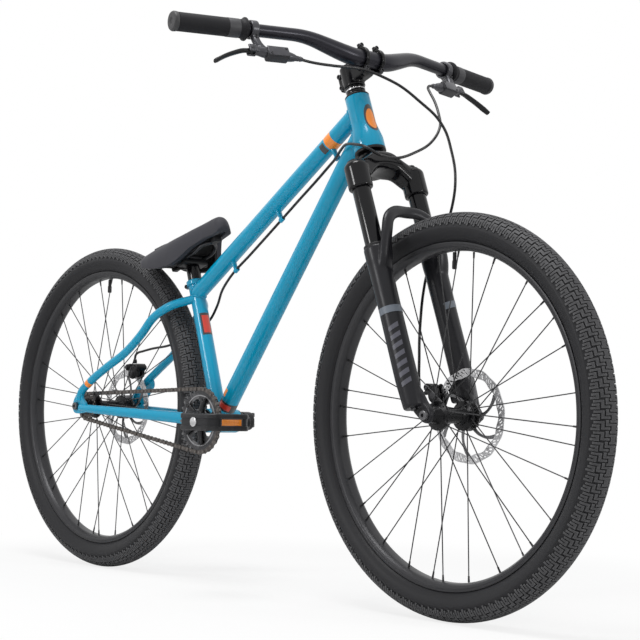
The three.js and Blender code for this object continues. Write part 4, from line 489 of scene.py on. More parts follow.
def film(a, direction, low, high, radius, begin=-180, end=180, lift=0.12, steps=40):
    """A thin printed film wrapped on a tube: part of a round from begin to end degrees about the
    tube's line, where 0 is the bike's right side and 90 its top or front, from low to high along it;
    either limit may be a function of the angle, and the radius a function of the place."""
    direction = unit(direction)
    right = np.array([0, -1.0, 0])
    over = np.cross(direction, right)
    over = over * np.sign(over[2])
    turn = np.linspace(begin, end, steps)
    angle = np.radians(turn)[:, None]
    rays = np.cos(angle) * right + np.sin(angle) * over
    low, high = [np.broadcast_to(limit(turn) if callable(limit) else limit, steps)[:, None]
                 for limit in (low, high)]
    places = [low + (high - low) * share for share in np.linspace(0, 1, 7)]
    wall = radius if callable(radius) else lambda place: radius
    outer = [np.asarray(a) + (wall(s) + lift) * rays + s * direction for s in places]
    inner = [np.asarray(a) + (wall(s) - 0.4) * rays + s * direction for s in places[::-1]]
    return skin(np.stack(outer + inner, 1))


def hose_guide(share):
    """A short post on the underside of the top tube with a ring round the hose, 33 mm below."""
    foot = top_front + top_line * top_length * share
    post = carried([foot + top_below * 14.5, foot + top_below * 24, foot + top_below * 30.5],
                   [oval(4.6, 6.5, 20), oval(3.4, 5.4, 20), oval(3.0, 5.0, 20)], reference=(0, 1, 0))
    return together(post, ring(-5, 5, 2.7, 4.6, 0.6, foot + top_below * 33.1, top_line, 28))


up_top, up_down = -top_line, unit(down_top - bottom_bracket)
head_wall = lambda place: flare_wall(np.clip((flare_top - place) / flare_drop, 0, 1))
badge_arch = lambda turn, half, tall: tall * np.sqrt(np.maximum(1 - ((turn - 88) / half) ** 2, 0.001))
badge_dark = film(head_top, head_axes[2], lambda t: -50 - badge_arch(t, 34, 27),
                  lambda t: -50 + badge_arch(t, 34, 27), head_wall, 54.1, 121.9, 0.15)
badge_warm = film(head_top, head_axes[2], lambda t: -52 - badge_arch(t, 26, 20),
                  lambda t: -52 + badge_arch(t, 26, 20), head_wall, 62.1, 113.9, 0.3)
piece("frame_head_tube", "root", [
    (cyan_enamel, head_shape,
     weld(top_front, up_top, top_radius, head_top, head_axes[2], head_radius),
     weld(down_top, up_down, down_radius, head_top, head_axes[2], 23.2)),
    (black_film, badge_dark), (orange_film, badge_warm),
], ["head_tube"])
piece("frame_top_tube", "root", [
    (cyan_enamel, straight_tube(top_front, top_rear, top_radius),
     weld(top_rear, -up_top, top_radius, bottom_bracket, seat_line, seat_radius),
     *[hose_guide(share) for share in (0.165, 0.49, 0.775)]),
    (orange_film, film(top_front, top_line, 74, 93, top_radius)),
    (black_film, film(top_front, top_line, 96, 108, top_radius, -62, 10)),
], ["top_tube"])
piece("frame_down_tube", "root", [
    (cyan_enamel, straight_tube(down_top, bottom_bracket, down_radius),
     weld(bottom_bracket, -up_down, down_radius, bottom_bracket, (0, 1, 0), shell_radius)),
    (black_film, film(bottom_bracket, up_down, 31, 50, down_radius, -170, 170)),
    (red_film, film(bottom_bracket, up_down, 35, 46, down_radius, -70, 20, 0.2)),
    (orange_film, film(bottom_bracket, up_down, 58, 74, down_radius, 2, 42)),
], ["down_tube"])
piece("frame_seat_tube", "root", [
    (cyan_enamel, straight_tube(bottom_bracket, bottom_bracket + seat_line * seat_tube_length, seat_radius),
     weld(bottom_bracket, -seat_line, seat_radius, bottom_bracket, (0, 1, 0), shell_radius)),
    (black_film, film(bottom_bracket, seat_line, 172, 217, seat_radius, 38, 128)),
    (red_film, film(bottom_bracket, seat_line, 176, 212, seat_radius, 52, 112, 0.2)),
], ["seat_tube"])
piece("frame_bracket_shell", "root", [
    (cyan_enamel, ring(-36.5, 36.5, 20.8, shell_radius, 0.8, bottom_bracket, (0, 1, 0), 72)),
], ["bb_shell"])

stay_side = 70.8
chainstay_rows = np.array([[.03, .4], [.15, .5], [.32, .59], [.57, .79], [.82, .96], [.93, 1]])
chainstay_line = np.stack([
    np.interp(chainstay_rows[:, 0], [0, 1], [-114, -509.5]), chainstay_rows[:, 1] * stay_side,
    np.interp(chainstay_rows[:, 0], [0, 1], [313.5, 332])], -1)
chainstay_line = np.vstack([[-100, 24, 313.2], chainstay_line, [-497, stay_side, 331.5]])
run = np.linspace(0, 1, 48)
chainstay = carried(smooth_line(chainstay_line, 48), oval(7.2 + 0.8 * run, 12.5 - 4.5 * run, 36),
                    reference=(0, 0, 1))
seatstay_rows = np.array([[0, 0, .22], [.115, .077, .58], [.249, .181, .73], [.348, .325, .8],
                          [.517, .498, .845], [.705, .638, .93], [.877, .778, .986], [.97, .885, 1]])
stay_top = np.array([-194.28, 0, 553.43])
seatstay_line = np.stack([
    stay_top[0] + (-509.5 - stay_top[0]) * seatstay_rows[:, 0], seatstay_rows[:, 2] * stay_side,
    stay_top[2] + (335 - stay_top[2]) * seatstay_rows[:, 1]], -1)
seatstay_line = np.vstack([[-190, 4, 553], seatstay_line[1:], [-503, stay_side, 348]])
seatstay_path = smooth_line(seatstay_line, 72)
run = np.linspace(0, 1, 72)
seatstay = carried(seatstay_path, oval(8.5 - 0.5 * run, sides=36), reference=(0, 0, 1))
stay_band = carried(seatstay_path[61:64], oval(8.22, sides=36), reference=(0, 0, 1))
same = lambda shape: shape
for side, turn in (("left", same), ("right", other_side)):
    piece("frame_chainstay_" + side, "root", [(cyan_enamel, chainstay)],
          ["chainstay_" + side], place=turn)
    piece("frame_seatstay_" + side, "root", [(cyan_enamel, seatstay), (orange_film, stay_band)],
          ["seatstay_" + side], place=turn)

dropout_corners = np.array([[-.45, -.1], [-.3, -.36], [.1, -.42], [.85, -.32], [.9, .14], [.5, .42],
                            [.5, .85], [.05, .8], [-.38, .3]])
tab_corners = np.array([[.2, .1], [.9, .14], [1.9, 1.2], [1.75, 1.62], [1.05, 1.2], [.5, .7]])


def dropout(corners):
    """A dropout plate: corners as shares of 38 mm round the axle, eased and 6 mm thick."""
    return moved(plate(eased(corners * 38, 7, closed=True), 67.8, 73.8, 0.8), rear_axle_place)


axle_plate = dropout(dropout_corners)
piece("frame_dropout_left", "root", [(cyan_enamel, axle_plate, dropout(tab_corners))], ["dropout_left"])
piece("frame_dropout_right", "root", [(cyan_enamel, other_side(axle_plate))], ["dropout_right"])

# ---------------------------------------------------------------- Seat collar, post and saddle
# A pinch collar in the frame's colour holds a gloss black post. Its head clamps the two steel rails of
# a low saddle: a charcoal cover over foam, bonded to a ribbed black plastic shell.
def bolt(spot, axis, radius, height, bore=0.55, sides=24):
    """A socket screw head: an eased round with a sunk bore, its foot at the spot."""
    rows = [[-1, radius], [height, radius], [height, radius * bore], [height * 0.4, radius * bore * 0.95],
            [height * 0.4, 0.02]]
    return turned(np.vstack([[[-1, 0.02]], eased(rows, 0.5)]), spot, axis, sides)


def block(low, high, corner=2.0, steps=6):
    """A block between two corners, its edges rounded: rounded sections along X that shrink at the ends."""
    low, high = np.asarray(low, float), np.asarray(high, float)
    half = (high - low) / 2
    corner = min(corner, *(half * 0.98))
    bend = np.linspace(0, np.pi / 2, steps)
    x = np.concatenate([-half[0] + corner * (1 - np.cos(bend)), half[0] - corner * (1 - np.sin(bend))])
    inset = np.concatenate([corner * (1 - np.sin(bend)), corner * (1 - np.cos(bend))])
    turn = np.radians(np.arange(4) * 90)[:, None] + bend[None]
    sign = np.array([[1, 1], [-1, 1], [-1, -1], [1, -1]])[:, None]
    round_part = np.stack([np.cos(turn), np.sin(turn)], -1)
    centre = sign * (half[1:] - corner)
    grid = centre[None] + round_part[None] * np.maximum(corner - inset, 0.02)[:, None, None, None]
    grid = grid.reshape(len(x), -1, 2)
    points = np.concatenate([np.broadcast_to(x[:, None, None], grid.shape[:2] + (1,)), grid], -1)
    return skin(points + (low + high) / 2)


gloss_black = finish("gloss_black", (0.003, 0.003, 0.004), 0.14, coat=0.0, tint=0.1, size=12, spread=0.04,
                     grain_depth=0.0, specular=0.28)
satin_black = finish("satin_black", (0.01, 0.01, 0.011), 0.4, metallic=0.2, tint=0.15,
                     worn=(0.09, 0.09, 0.095), wear=0.3, specular=0.25)
dark_bolts = finish("dark_bolts", (0.045, 0.045, 0.048), 0.38, metallic=0.8, worn=(0.25, 0.25, 0.26))
cover_foam = finish("saddle_cover", (0.036, 0.036, 0.043), 0.62, tint=0.14, size=18, spread=0.06,
                    grain_size=1500,
                    grain_depth=0.2, sheen=0.06, specular=0.2)
shell_plastic = finish("shell_plastic", (0.006, 0.006, 0.007), 0.42, tint=0.1, grain_size=1300,
                       grain_depth=0.1, specular=0.2)
panel_plastic = finish("nose_panel", (0.055, 0.055, 0.062), 0.6, tint=0.1, grain_size=1500, grain_depth=0.2,
                       specular=0.2)

on_seat = lambda shape: moved(shape, bottom_bracket, seat_axes)
piece("seat_collar_ring", "root", [
    (cyan_enamel, ring(279, 289, 15.1, 18, 1.2, sides=72),
     *[block((-24.5, y, 279.6), (-15.6, y + 6.3, 288.4), 1.5) for y in (-7, 0.7)]),
    (dark_bolts, bolt((-20.2, -7, 284), (0, -1, 0), 4, 3.6),
     turned([[0, 2.5], [18, 2.5]], (-20.2, 11, 284), (0, -1, 0), 20)),
], ["seat_collar"], place=on_seat)
post_rows = [[150, 11.4], [150, 13.6], [316, 13.6], [320.7, 12.6], [320.7, 11.4]]
piece("seat_post_tube", "seat", [(gloss_black, lathed(post_rows, 0.8, sides=72, tube=True))],
      ["seat_post"], place=on_seat)
bolt_rows = np.array([[38, 0.02], [38, 3], [35.5, 3], [35.5, 6], [30.4, 6], [30.4, 0.02]])
piece("saddle_cradle", "seat", [
    (satin_black, block((-13, -30.5, 321), (13, 30.5, 331.2), 3.2),
     block((-13, -30.5, 331.8), (13, 30.5, 341), 3.2),
     *[lathed(bolt_rows * [side, 1], 0.6, (0, 0, 327), (0, 1, 0), 24) for side in (-1, 1)]),
], ["saddle_clamp"], place=on_seat)

saddle_rows = np.array([
    [0, .42, .76, .6], [.03, .72, .82, .5], [.11, .94, .86, .1], [.23, 1, .88, -.2], [.36, 1, .88, -.42],
    [.49, .95, .88, -.55], [.58, .82, .88, -.42], [.68, .61, .9, -.09], [.8, .35, .92, .13],
    [.9, .3, .91, .1], [.965, .28, .86, .1], [1, .26, .8, .14]])
saddle_length, saddle_half, saddle_rise = 234.0, 66.0, 45.0
saddle_origin = bottom_bracket + np.array([7.6, 0, 341.7]) @ seat_axes


def saddle_table(stations):
    """The rows at more places: place, half width, crown and edge, read off straight between the rows,
    then evened out with their neighbours by weights 1, 3, 6, 3, 1 everywhere but at the two ends."""
    rows = saddle_rows * [saddle_length, saddle_half, saddle_rise, saddle_rise]
    scaled = np.stack([np.interp(stations, saddle_rows[:, 0], rows[:, k]) for k in range(4)], -1)
    window = np.array([1, 3, 6, 3, 1]) / 14
    padded = np.pad(scaled, ((2, 2), (0, 0)), "edge")
    soft = sum(padded[k:k + len(scaled)] * window[k] for k in range(5))
    return np.where(stations[:, None] * (1 - stations[:, None]) > 0.004, soft, scaled)


def saddle_dome(inset, thickness, start=0.0, stop=1.0, count=96, places=49):
    """A hollow dome: across is |cos a|^0.8 of the half width and up is sin a^0.8 of the crown, for a from
    0 to half a turn; an inner dome a thickness smaller comes back under it, and both ends round off."""
    bend = 0.5 - 0.5 * np.cos(np.linspace(0, np.pi, count))
    stations = start + (stop - start) * bend
    place, half, crown, low = saddle_table(stations).T
    half, crown = np.maximum(half - inset, half * 0.2), crown - inset
    low = np.minimum(low, crown - 2.8)
    angle = np.linspace(0, np.pi, places)
    across = np.sign(np.cos(angle)) * np.abs(np.cos(angle)) ** 0.8
    up = np.sin(angle) ** 0.8
    outer = np.stack([np.broadcast_to(half[:, None] * across, (count, places)),
                      low[:, None] + (crown - low)[:, None] * up], -1)
    small = np.maximum(half - thickness, half * 0.2)
    to_end = np.minimum(stations - start, stop - stations) * saddle_length
    filled = np.clip(1 - (to_end - 8) / 22, 0, 1)
    under = np.maximum(crown - thickness, low + 0.5) * (1 - filled) + (low + 0.5) * filled
    inner = np.stack([np.broadcast_to(small[:, None] * across, (count, places)),
                      low[:, None] + (under - low)[:, None] * up], -1)
    loop = np.concatenate([outer, inner[:, ::-1]], 1)
    middle = np.stack([np.zeros(count), (crown + low) / 2], -1)[:, None]
    near = np.clip(1 - to_end / 13, 0, 1)
    shrink = np.sqrt(np.maximum(1 - near ** 2, 0.0004))[:, None, None]
    loop = middle + (loop - middle) * shrink
    x = place + (0.49 - 1) * saddle_length
    grid = np.concatenate([np.broadcast_to(x[:, None, None], loop.shape[:2] + (1,)), loop], -1)
    return skin(grid)


on_saddle = lambda shape: moved(shape, saddle_origin, seat_axes)
cover = piece("saddle_cover", "seat", [(cover_foam, saddle_dome(0, 11))], ["saddle_pad"], 60,
              on_saddle)


def shell_rib(side, spread):
    """A moulded rib under the shell: from the nose block back and down to the rear rail socket."""
    line = [[66, side * 2.5, 10], [40, side * spread * 0.45, 15], [8, side * spread * 0.8, 24],
            [-40, side * spread, 31], [-72, side * spread, 34]]
    return carried(smooth_line(line, 26), oval(1.6, 4.5, 12), reference=(0, 0, 1))


screw_rows = [[0, 2.4], [0.6, 2.4], [0.6, 1.6], [-2, 1.6], [-2, 0.02]]
piece("saddle_shell_plate", "seat", [
    (shell_plastic, saddle_dome(12.2, 3, 0.05, 0.9, 70),
     *[block((-96.6, y - 7, 2), (-82.6, y + 7, 30), 3) for y in (-22, 22)],
     block((70, -9, -4), (86, 9, 12), 3)),
    (panel_plastic, block((72, -12, 9.5), (101, 12, 13.5), 1.9)),
    (shell_plastic, turned(screw_rows, (92, 0, 9.4), (0, 0, -1), 20),
     *[shell_rib(side, spread) for side in (-1, 1) for spread in (12, 24, 36)]),
], ["saddle_shell"], place=on_saddle)

rail_top = -9.2
rail_side = np.array([[-81.2, 22, 4.7], [-32, 22, rail_top], [-15, 22, rail_top], [15, 22, rail_top],
                      [29.5, 22, rail_top], [55.3, 15.4, -2.3]])
rail_line = np.vstack([rail_side, [[66.4, 0, -0.5]], rail_side[::-1] * [1, -1, 1]])
piece("saddle_rail_wire", "seat", [(dark_bolts, carried(smooth_line(rail_line, 120), oval(3.5, sides=16)))],
      ["saddle_rails"], place=on_saddle)

# ---------------------------------------------------------------- Headset and steerer
# Pressed-in bearing cups of black alloy above and below the head tube, a tapered cover, and a polished
# spacer under the stem, all round the fork's steel steerer.
on_steering = lambda shape: moved(shape, head_top, head_axes)
polished_alloy = finish("polished_alloy", (0.55, 0.55, 0.56), 0.16, metallic=1.0, tint=0.05)
upper_rows = [[-7.7, 15.1], [-7.7, 20.2], [0.3, 20.2], [0.3, 22], [2.4, 22], [4.4, 20.2], [6, 18], [6, 15.1]]
lower_rows = [[-110, 15.1], [-110, 28], [-105.3, 28], [-105.3, 25.2], [-97.3, 25.2], [-97.3, 15.1]]
for level, rows, ease in (("upper", upper_rows, 0.5), ("lower", lower_rows, 0.6)):
    piece("headset_" + level + "_cup", "root", [(satin_black, lathed(rows, ease, sides=72, tube=True))],
          ["headset_" + level], place=on_steering)
spacer = lambda low, high, outer, ease: ring(low, high, 14.8, outer, ease)
piece("headset_spacer_stack", "steering", [
    (gloss_black, spacer(6.4, 12.6, 17.4, 0.7)), (polished_alloy, spacer(12.8, 15.4, 17.8, 0.5)),
    (gloss_black, spacer(15.6, 19.7, 18, 0.6)),
], ["headset_spacers"], place=on_steering)
piece("steerer_tube", "steering", [(satin_black, ring(-148.3, 57, 12.3, 14.3, 0.4))],
      ["steerer"], place=on_steering)

# ---------------------------------------------------------------- Fork
# Short-travel fork: a gloss black forged crown and stanchions, and satin charcoal cast lowers with the
# arch in front, dust seals on top, tips for the bolt-on axle and a post mount for the caliper.
def cast(shapes, grain_width, softness):
    """Shapes melted into one casting: filled into a grid of cells this wide, then evened out, so that
    every inner corner gets a fillet."""
    mesh = mesh_of("melt", shapes)
    melt = bpy.data.objects.new("melt", mesh)
    bpy.context.scene.collection.objects.link(melt)
    cells = melt.modifiers.new("cells", "REMESH")
    cells.mode = "VOXEL"
    cells.voxel_size = grain_width * millimetre
    even = melt.modifiers.new("even", "SMOOTH")
    even.factor = 0.5
    even.iterations = softness
    done = melt.evaluated_get(bpy.context.evaluated_depsgraph_get()).to_mesh()
    points = np.empty(len(done.vertices) * 3)
    done.vertices.foreach_get("co", points)
    corners = np.empty(len(done.loops), np.int64)
    done.loops.foreach_get("vertex_index", corners)
    totals = np.empty(len(done.polygons), np.int64)
    done.polygons.foreach_get("loop_total", totals)
    starts = np.concatenate([[0], np.cumsum(totals)[:-1]])
    faces = [corners[starts[totals == k][:, None] + np.arange(k)] for k in np.unique(totals)]
    bpy.data.objects.remove(melt)
    bpy.data.meshes.remove(mesh)
    return outward(points.reshape(-1, 3) / millimetre, faces)


def loft(rows, sides=44, power=0.5):
    """Rounded sections along Y from rows [y, back, front, low, high]: each is |cos|^power by |sin|^power
    between its limits."""
    rows = np.asarray(rows, float)
    angle = np.linspace(0, 2 * np.pi, sides, endpoint=False)
    c = np.sign(np.cos(angle)) * np.abs(np.cos(angle)) ** power
    s = np.sign(np.sin(angle)) * np.abs(np.sin(angle)) ** power
    x = (rows[:, 2:3] + rows[:, 1:2]) / 2 + (rows[:, 2:3] - rows[:, 1:2]) / 2 * c
    z = (rows[:, 4:5] + rows[:, 3:4]) / 2 + (rows[:, 4:5] - rows[:, 3:4]) / 2 * s
    return skin(np.stack([x, np.broadcast_to(rows[:, :1], x.shape), z], -1))


leg_forward, leg_side, leg_wall = 21.4, 66.0, 19.42
crown_top, crown_shoulder, crown_foot = -110.3, -148.3, -196.3
crown_rows = np.array([
    [-70, 4, 38, -186, -150], [-60, 2, 37, -186, -142], [-47, 0.5, 36.5, -177, -135],
    [-32, -4, 36, -163, -126], [-20, -16, 36, -156, -118], [0, -22, 36, -152.5, -116],
    [20, -16, 36, -156, -118], [32, -4, 36, -163, -126], [47, 0.5, 36.5, -177, -135], [60, 2, 37, -186, -142],
    [70, 4, 38, -186, -150]])
socket_rows = [[crown_foot, 0.02], [crown_foot, 21.3], [-153, 21.3], [-146, 16], [-146, 0.02]]
crown = cast([loft(smooth_line(crown_rows, 60), 52, 0.62),
              lathed([[-152, 0.02], [-152, 26], [-118, 26], [crown_top, 22], [crown_top, 0.02]], 3)]
             + [lathed(socket_rows, 3, (leg_forward, y, 0)) for y in (-leg_side, leg_side)], 1.3, 9)
piece("fork_crown_forging", "steering", [(gloss_black, crown)], ["fork_crown"], 70,
      on_steering)

fork_charcoal = finish("fork_charcoal", (0.012, 0.012, 0.0145), 0.34, metallic=0.15, tint=0.12,
                       grain_size=1100, grain_depth=0.06,
                       worn=(0.07, 0.07, 0.075), wear=0.2, specular=0.28)
grey_film = finish("grey_film", (0.13, 0.15, 0.18), 0.45, tint=0.1)
slate_film = finish("slate_film", (0.075, 0.075, 0.095), 0.45, tint=0.1)
seal_rubber = finish("seal_rubber", (0.009, 0.009, 0.01), 0.5, tint=0.1, specular=0.25)
stanchion_foot = -479.3
for side, y in (("right", -leg_side), ("left", leg_side)):
    tube = ring(stanchion_foot, crown_shoulder, 13.5, 16, 0.5, (leg_forward, y, 0), sides=72)
    piece("fork_stanchion_" + side, "steering", [(gloss_black, tube)],
          ["stanchion_" + side], place=on_steering)
cap_rows = [[-148, 0.02], [-148, 14], [-144, 14], [-144, 7], [-145.6, 6.6], [-145.6, 0.02]]
piece("fork_cap_plain", "steering",
      [(satin_black, lathed(cap_rows, 0.6, (leg_forward, -leg_side, 0), sides=48))],
      ["fork_cap_right"], place=on_steering)
knob_angle = np.linspace(0, 2 * np.pi, 96, endpoint=False)
knob_outline = oval(9, sides=96) * (1 - 0.06 * (np.cos(knob_angle * 12)[:, None] > 0.55))
knob = carried([[leg_forward, leg_side, -145], [leg_forward, leg_side, -139], [leg_forward, leg_side, -138]],
               [knob_outline, knob_outline, knob_outline * 0.9], reference=(1, 0, 0))
piece("fork_cap_knob", "steering", [
    (satin_black, solid_round(-148, -144, 14, 0.6, (leg_forward, leg_side, 0), sides=48), knob),
], ["fork_cap_left"], place=on_steering)

seal_top, leg_foot, hub_forward, hub_rise = -304.3, -590.1, 38.4, -608.1
leg_rows = [[leg_foot, 0.02], [leg_foot, 17], [leg_foot + 50, 19.5], [-420, 19.2], [-350, 19.7],
            [-339.3, 19.9],
            [-329.3, 20.6], [seal_top, 20.6], [seal_top, 0.02]]
legs = [lathed(leg_rows, 3, (leg_forward, y, 0), sides=72) for y in (-leg_side, leg_side)]
arch_rows = np.array([[1, -2, .1], [1, -1, .36], [1, -.53, .65], [.97, 0, .85], [.88, .37, .97],
                      [.74, .72, 1], [.42, .95, .92], [0, 1, .817]])
arch_half = np.stack([leg_forward + 30.1 * arch_rows[:, 2], leg_side * arch_rows[:, 0],
                      seal_top + np.where(arch_rows[:, 1] < 0, 47, 60) * arch_rows[:, 1]], -1)
arch_line = smooth_line(np.vstack([arch_half, arch_half[-2::-1] * [1, -1, 1]]), 90)
fall = np.clip(-(arch_line[:, 2] - seal_top) / 94, 0, 1)
arch = carried(arch_line, oval(11 + 4 * np.sin(np.pi * fall) - 4 * fall ** 3, np.full(90, 7.2), 32),
               reference=(1, 0, 0))
tip_corners = np.array([[-.66, .8], [-.05, 1.05], [.12, .42], [.28, .1], [.24, -.18], [0, -.3], [-.22, -.2],
                        [-.52, .28]]) * 48
tip = moved(plate(eased(tip_corners, 6, closed=True), 50.4, 62, 1.5), (hub_forward, 0, hub_rise))
caliper_reach, caliper_turn = 81, np.radians(156 - 20.3)
mount_low = hub_rise + caliper_reach * np.sin(caliper_turn) - 22
mount_back = hub_forward + caliper_reach * np.cos(caliper_turn) + 18.3
mount = block((mount_back, 46.3, mount_low), (leg_forward, 61.8, mount_low + 44), 4)
lowers = cast(legs + [arch, tip, other_side(tip), mount], 1.7, 8)
seals = [ring(-307, -300.6, 16.15, 19.6, 1.4, (leg_forward, y, 0)) for y in (-leg_side, leg_side)]
leg_line = head_top + np.array([leg_forward, -leg_side, 0]) @ head_axes
foot_nuts = [solid_round(leg_foot - 3.4, leg_foot + 2, 5.5, 0.6, (leg_forward, y, 0), sides=6)
             for y in (-leg_side, leg_side)]
stripes = []
for k in range(7):
    low = -446 - k * 16
    slant = lambda turn, at=low: at + (turn - 55) * 0.13
    stripes.append(film(leg_line, head_axes[2], lambda t: slant(t) - 8, slant, leg_wall, 12, 66))
left_leg = head_top + np.array([leg_forward, leg_side, 0]) @ head_axes
piece("fork_lowers_casting", "lowers", [
    (fork_charcoal, on_steering(lowers)), (seal_rubber, *map(on_steering, seals)),
    (dark_bolts, *map(on_steering, foot_nuts)),
    (grey_film, film(leg_line, head_axes[2], -427, -415, leg_wall, -30, 135),
     film(left_leg, head_axes[2], lambda t: -418 + t * 0.06, lambda t: -406 + t * 0.06, leg_wall, 40, 128)),
    (slate_film, *stripes),
], ["fork_lowers"], 70)

# ---------------------------------------------------------------- Wheels
# 26 inch wheels: a wide tyre with a low maze of hooked blocks, a black alloy rim, 32 black spokes laced
# to a black hub, a steel rotor on its left face and a bolt-on axle.
tyre_centre, tread_base = 308.0, 24.2
hole_radius, nipple_radius, rim_foot = 21, 271.2, (0, 0, 272)


def wheel_grid(radius, side, angle):
    """Points [row, step] at a radius and a side along Y for each row, at each angle round the axle."""
    r, y = np.asarray(radius, float)[:, None], np.asarray(side, float)[:, None]
    return np.stack([r * np.cos(angle), np.broadcast_to(y, (len(r), len(angle))), r * np.sin(angle)], -1)


def cut_plate(outer, inner, keep):
    """Raised cells: outer and inner faces of the kept cells of two grids [row, step], closed round the
    steps, with a wall wherever a kept cell meets a dropped one."""
    rows, steps = outer.shape[:2]
    points = np.concatenate([outer.reshape(-1, 3), inner.reshape(-1, 3)])
    number = np.arange(rows * steps).reshape(rows, steps)
    beyond = np.roll(number, -1, 1)
    depth = rows * steps
    top = np.stack([number[:-1], beyond[:-1], beyond[1:], number[1:]], -1)[keep]
    faces = [top, top[:, ::-1] + depth]
    edge = np.zeros((1, steps), bool)
    above, below = np.vstack([keep, edge]), np.vstack([edge, keep])
    for mask, a, b in ((above & ~below, beyond, number), (below & ~above, number, beyond)):
        a, b = a[mask], b[mask]
        faces.append(np.stack([a, b, b + depth, a + depth], -1))
    before = np.roll(keep, 1, 1)
    for mask, a, b in ((keep & ~before, number[:-1], number[1:]), (before & ~keep, number[1:], number[:-1])):
        a, b = a[mask], b[mask]
        faces.append(np.stack([a, b, b + depth, a + depth], -1))
    used, where = np.unique(np.concatenate([f.ravel() for f in faces]), return_inverse=True)
    sizes = np.cumsum([0] + [f.size for f in faces])
    return outward(points[used], [where[a:b].reshape(-1, 4) for a, b in zip(sizes[:-1], sizes[1:])])


tread_tile = [
    "##.......", "##.##....", "##.##.##.", "##.##.##.", "#####.##.", "#####.##.", "......##.", ".#######.",
    ".#######.", ".##......", ".##.#####", ".##.#####", ".##.##...", "....##.##", "######.##", "######.##"]
half_tread = np.array([[mark == "#" for mark in row] for row in tread_tile])
tread_cells = np.vstack([half_tread, np.roll(half_tread[::-1, ::-1], 4, 1)])
tread_pitches = 130
tread_keep = np.tile(tread_cells, (1, tread_pitches))
tread_angle = np.linspace(0, 2 * np.pi, tread_keep.shape[1], endpoint=False)
tread_turn = np.radians(np.linspace(-81, 81, len(tread_keep) + 1))
shoulder = np.clip((np.abs(tread_turn) - 1.05) / 0.36, 0, 1)
tread_high = 26.95 - 0.35 * shoulder
tread = cut_plate(
    wheel_grid(tyre_centre + tread_high * np.cos(tread_turn), tread_high * np.sin(tread_turn), tread_angle),
    wheel_grid(tyre_centre + tread_base * np.cos(tread_turn), tread_base * np.sin(tread_turn), tread_angle),
    tread_keep)
casing_turn = np.radians(np.linspace(-149, 149, 75))
ridge = lambda at, width: np.exp(-((np.abs(np.degrees(casing_turn)) - at) / width) ** 2)
casing_high = 24.7 + 1.9 * np.clip((np.abs(np.degrees(casing_turn)) - 76) / 12, 0, 1)
casing_high = casing_high + 0.35 * ridge(90, 1.6) + 0.35 * ridge(133, 2.0)
outer_rows = np.stack([casing_high * np.sin(casing_turn), tyre_centre + casing_high * np.cos(casing_turn)],
                      -1)
inner_turn = np.radians(np.linspace(145, -145, 25))
inner_rows = np.stack([21.5 * np.sin(inner_turn), tyre_centre + 21.5 * np.cos(inner_turn)], -1)
casing_rows = np.vstack([outer_rows, [[14.3, 279.8], [10.6, 279.8]], inner_rows,
                         [[-10.6, 279.8], [-14.3, 279.8]]])
angle = np.linspace(0, 2 * np.pi, 288, endpoint=False)
casing = skin(wheel_grid(casing_rows[:, 1], casing_rows[:, 0], angle), round_trip=True)

rim_half = np.array([[0, 271], [6.5, 271], [9.5, 271.7], [14.6, 275.1], [16.2, 276.6], [16.6, 278],
                     [16.6, 280.2], [16.25, 280.5], [16.25, 281.3], [16.6, 281.6], [16.6, 284.2], [16.2, 285],
                     [15.2, 285], [14.85, 284.4], [14.85, 280.2], [14.2, 279.4], [10, 279.2], [8, 277],
                     [0, 276.8]])
rim_rows = np.vstack([rim_half, rim_half[-2:0:-1] * [-1, 1]])
rim = skin(wheel_grid(rim_rows[:, 1], rim_rows[:, 0], angle), round_trip=True)

spokes_each, spoke_sweep = 16, np.radians(50)


def rods(starts, ends, radii, sides=8):
    """Many straight round rods at once: a ring of points at each start and each end, closed by faces."""
    starts, ends = np.asarray(starts, float), np.asarray(ends, float)
    along = unit(ends - starts)
    helper = np.where(np.abs(along[:, 1:2]) < 0.9, [[0, 1.0, 0]], [[1.0, 0, 0]])
    across = unit(np.cross(along, helper))
    other = np.cross(along, across)
    angle = np.linspace(0, 2 * np.pi, sides, endpoint=False)
    spread = across[:, None] * np.cos(angle)[:, None] + other[:, None] * np.sin(angle)[:, None]
    first, last = np.broadcast_to(radii, (2,))
    points = np.stack([starts[:, None] + spread * first, ends[:, None] + spread * last], 1).reshape(-1, 3)
    base = (np.arange(len(starts)) * 2 * sides)[:, None, None]
    j = np.arange(sides)
    quad = np.stack([j, (j + 1) % sides, (j + 1) % sides + sides, j + sides], -1)[None] + base
    low = j[::-1][None] + base[:, 0]
    high = (j + sides)[None] + base[:, 0]
    return outward(points, [quad.reshape(-1, 4), low, high])


def laced(flange_side, turn_share):
    """Both ends of one flange's spokes: holes evenly round the flange, nipples swept to and fro."""
    number = np.arange(spokes_each)
    lean = np.where(number % 2 == 0, 1, -1)
    hole = 2 * np.pi * (number + turn_share) / spokes_each
    nipple = hole + lean * spoke_sweep / 2
    sign = np.sign(flange_side)
    start = np.stack([np.cos(hole) * hole_radius, flange_side + lean * 2.1, np.sin(hole) * hole_radius], -1)
    end = np.stack([np.cos(nipple) * nipple_radius, np.full(spokes_each, sign * 2.5),
                    np.sin(nipple) * nipple_radius], -1)
    return start, end


def spoke_set(flange_side, turn_share):
    """The spokes of one flange, their elbows through its holes and the nipples at the rim."""
    start, end = laced(flange_side, turn_share)
    inward = unit(start - end)
    heads = np.stack([start[:, 0], np.full(len(start), float(flange_side)), start[:, 2]], -1)
    lean = np.sign(start[:, 1] - flange_side)[:, None] * np.array([[0, 1.0, 0]])
    return (rods(start, end, (1.0, 1.0), 8), rods(end + inward * 11, end + inward * 1, (1.5, 1.9), 10),
            rods(heads - lean * 3.0, heads + lean * 2.4, (1.7, 1.5), 10))


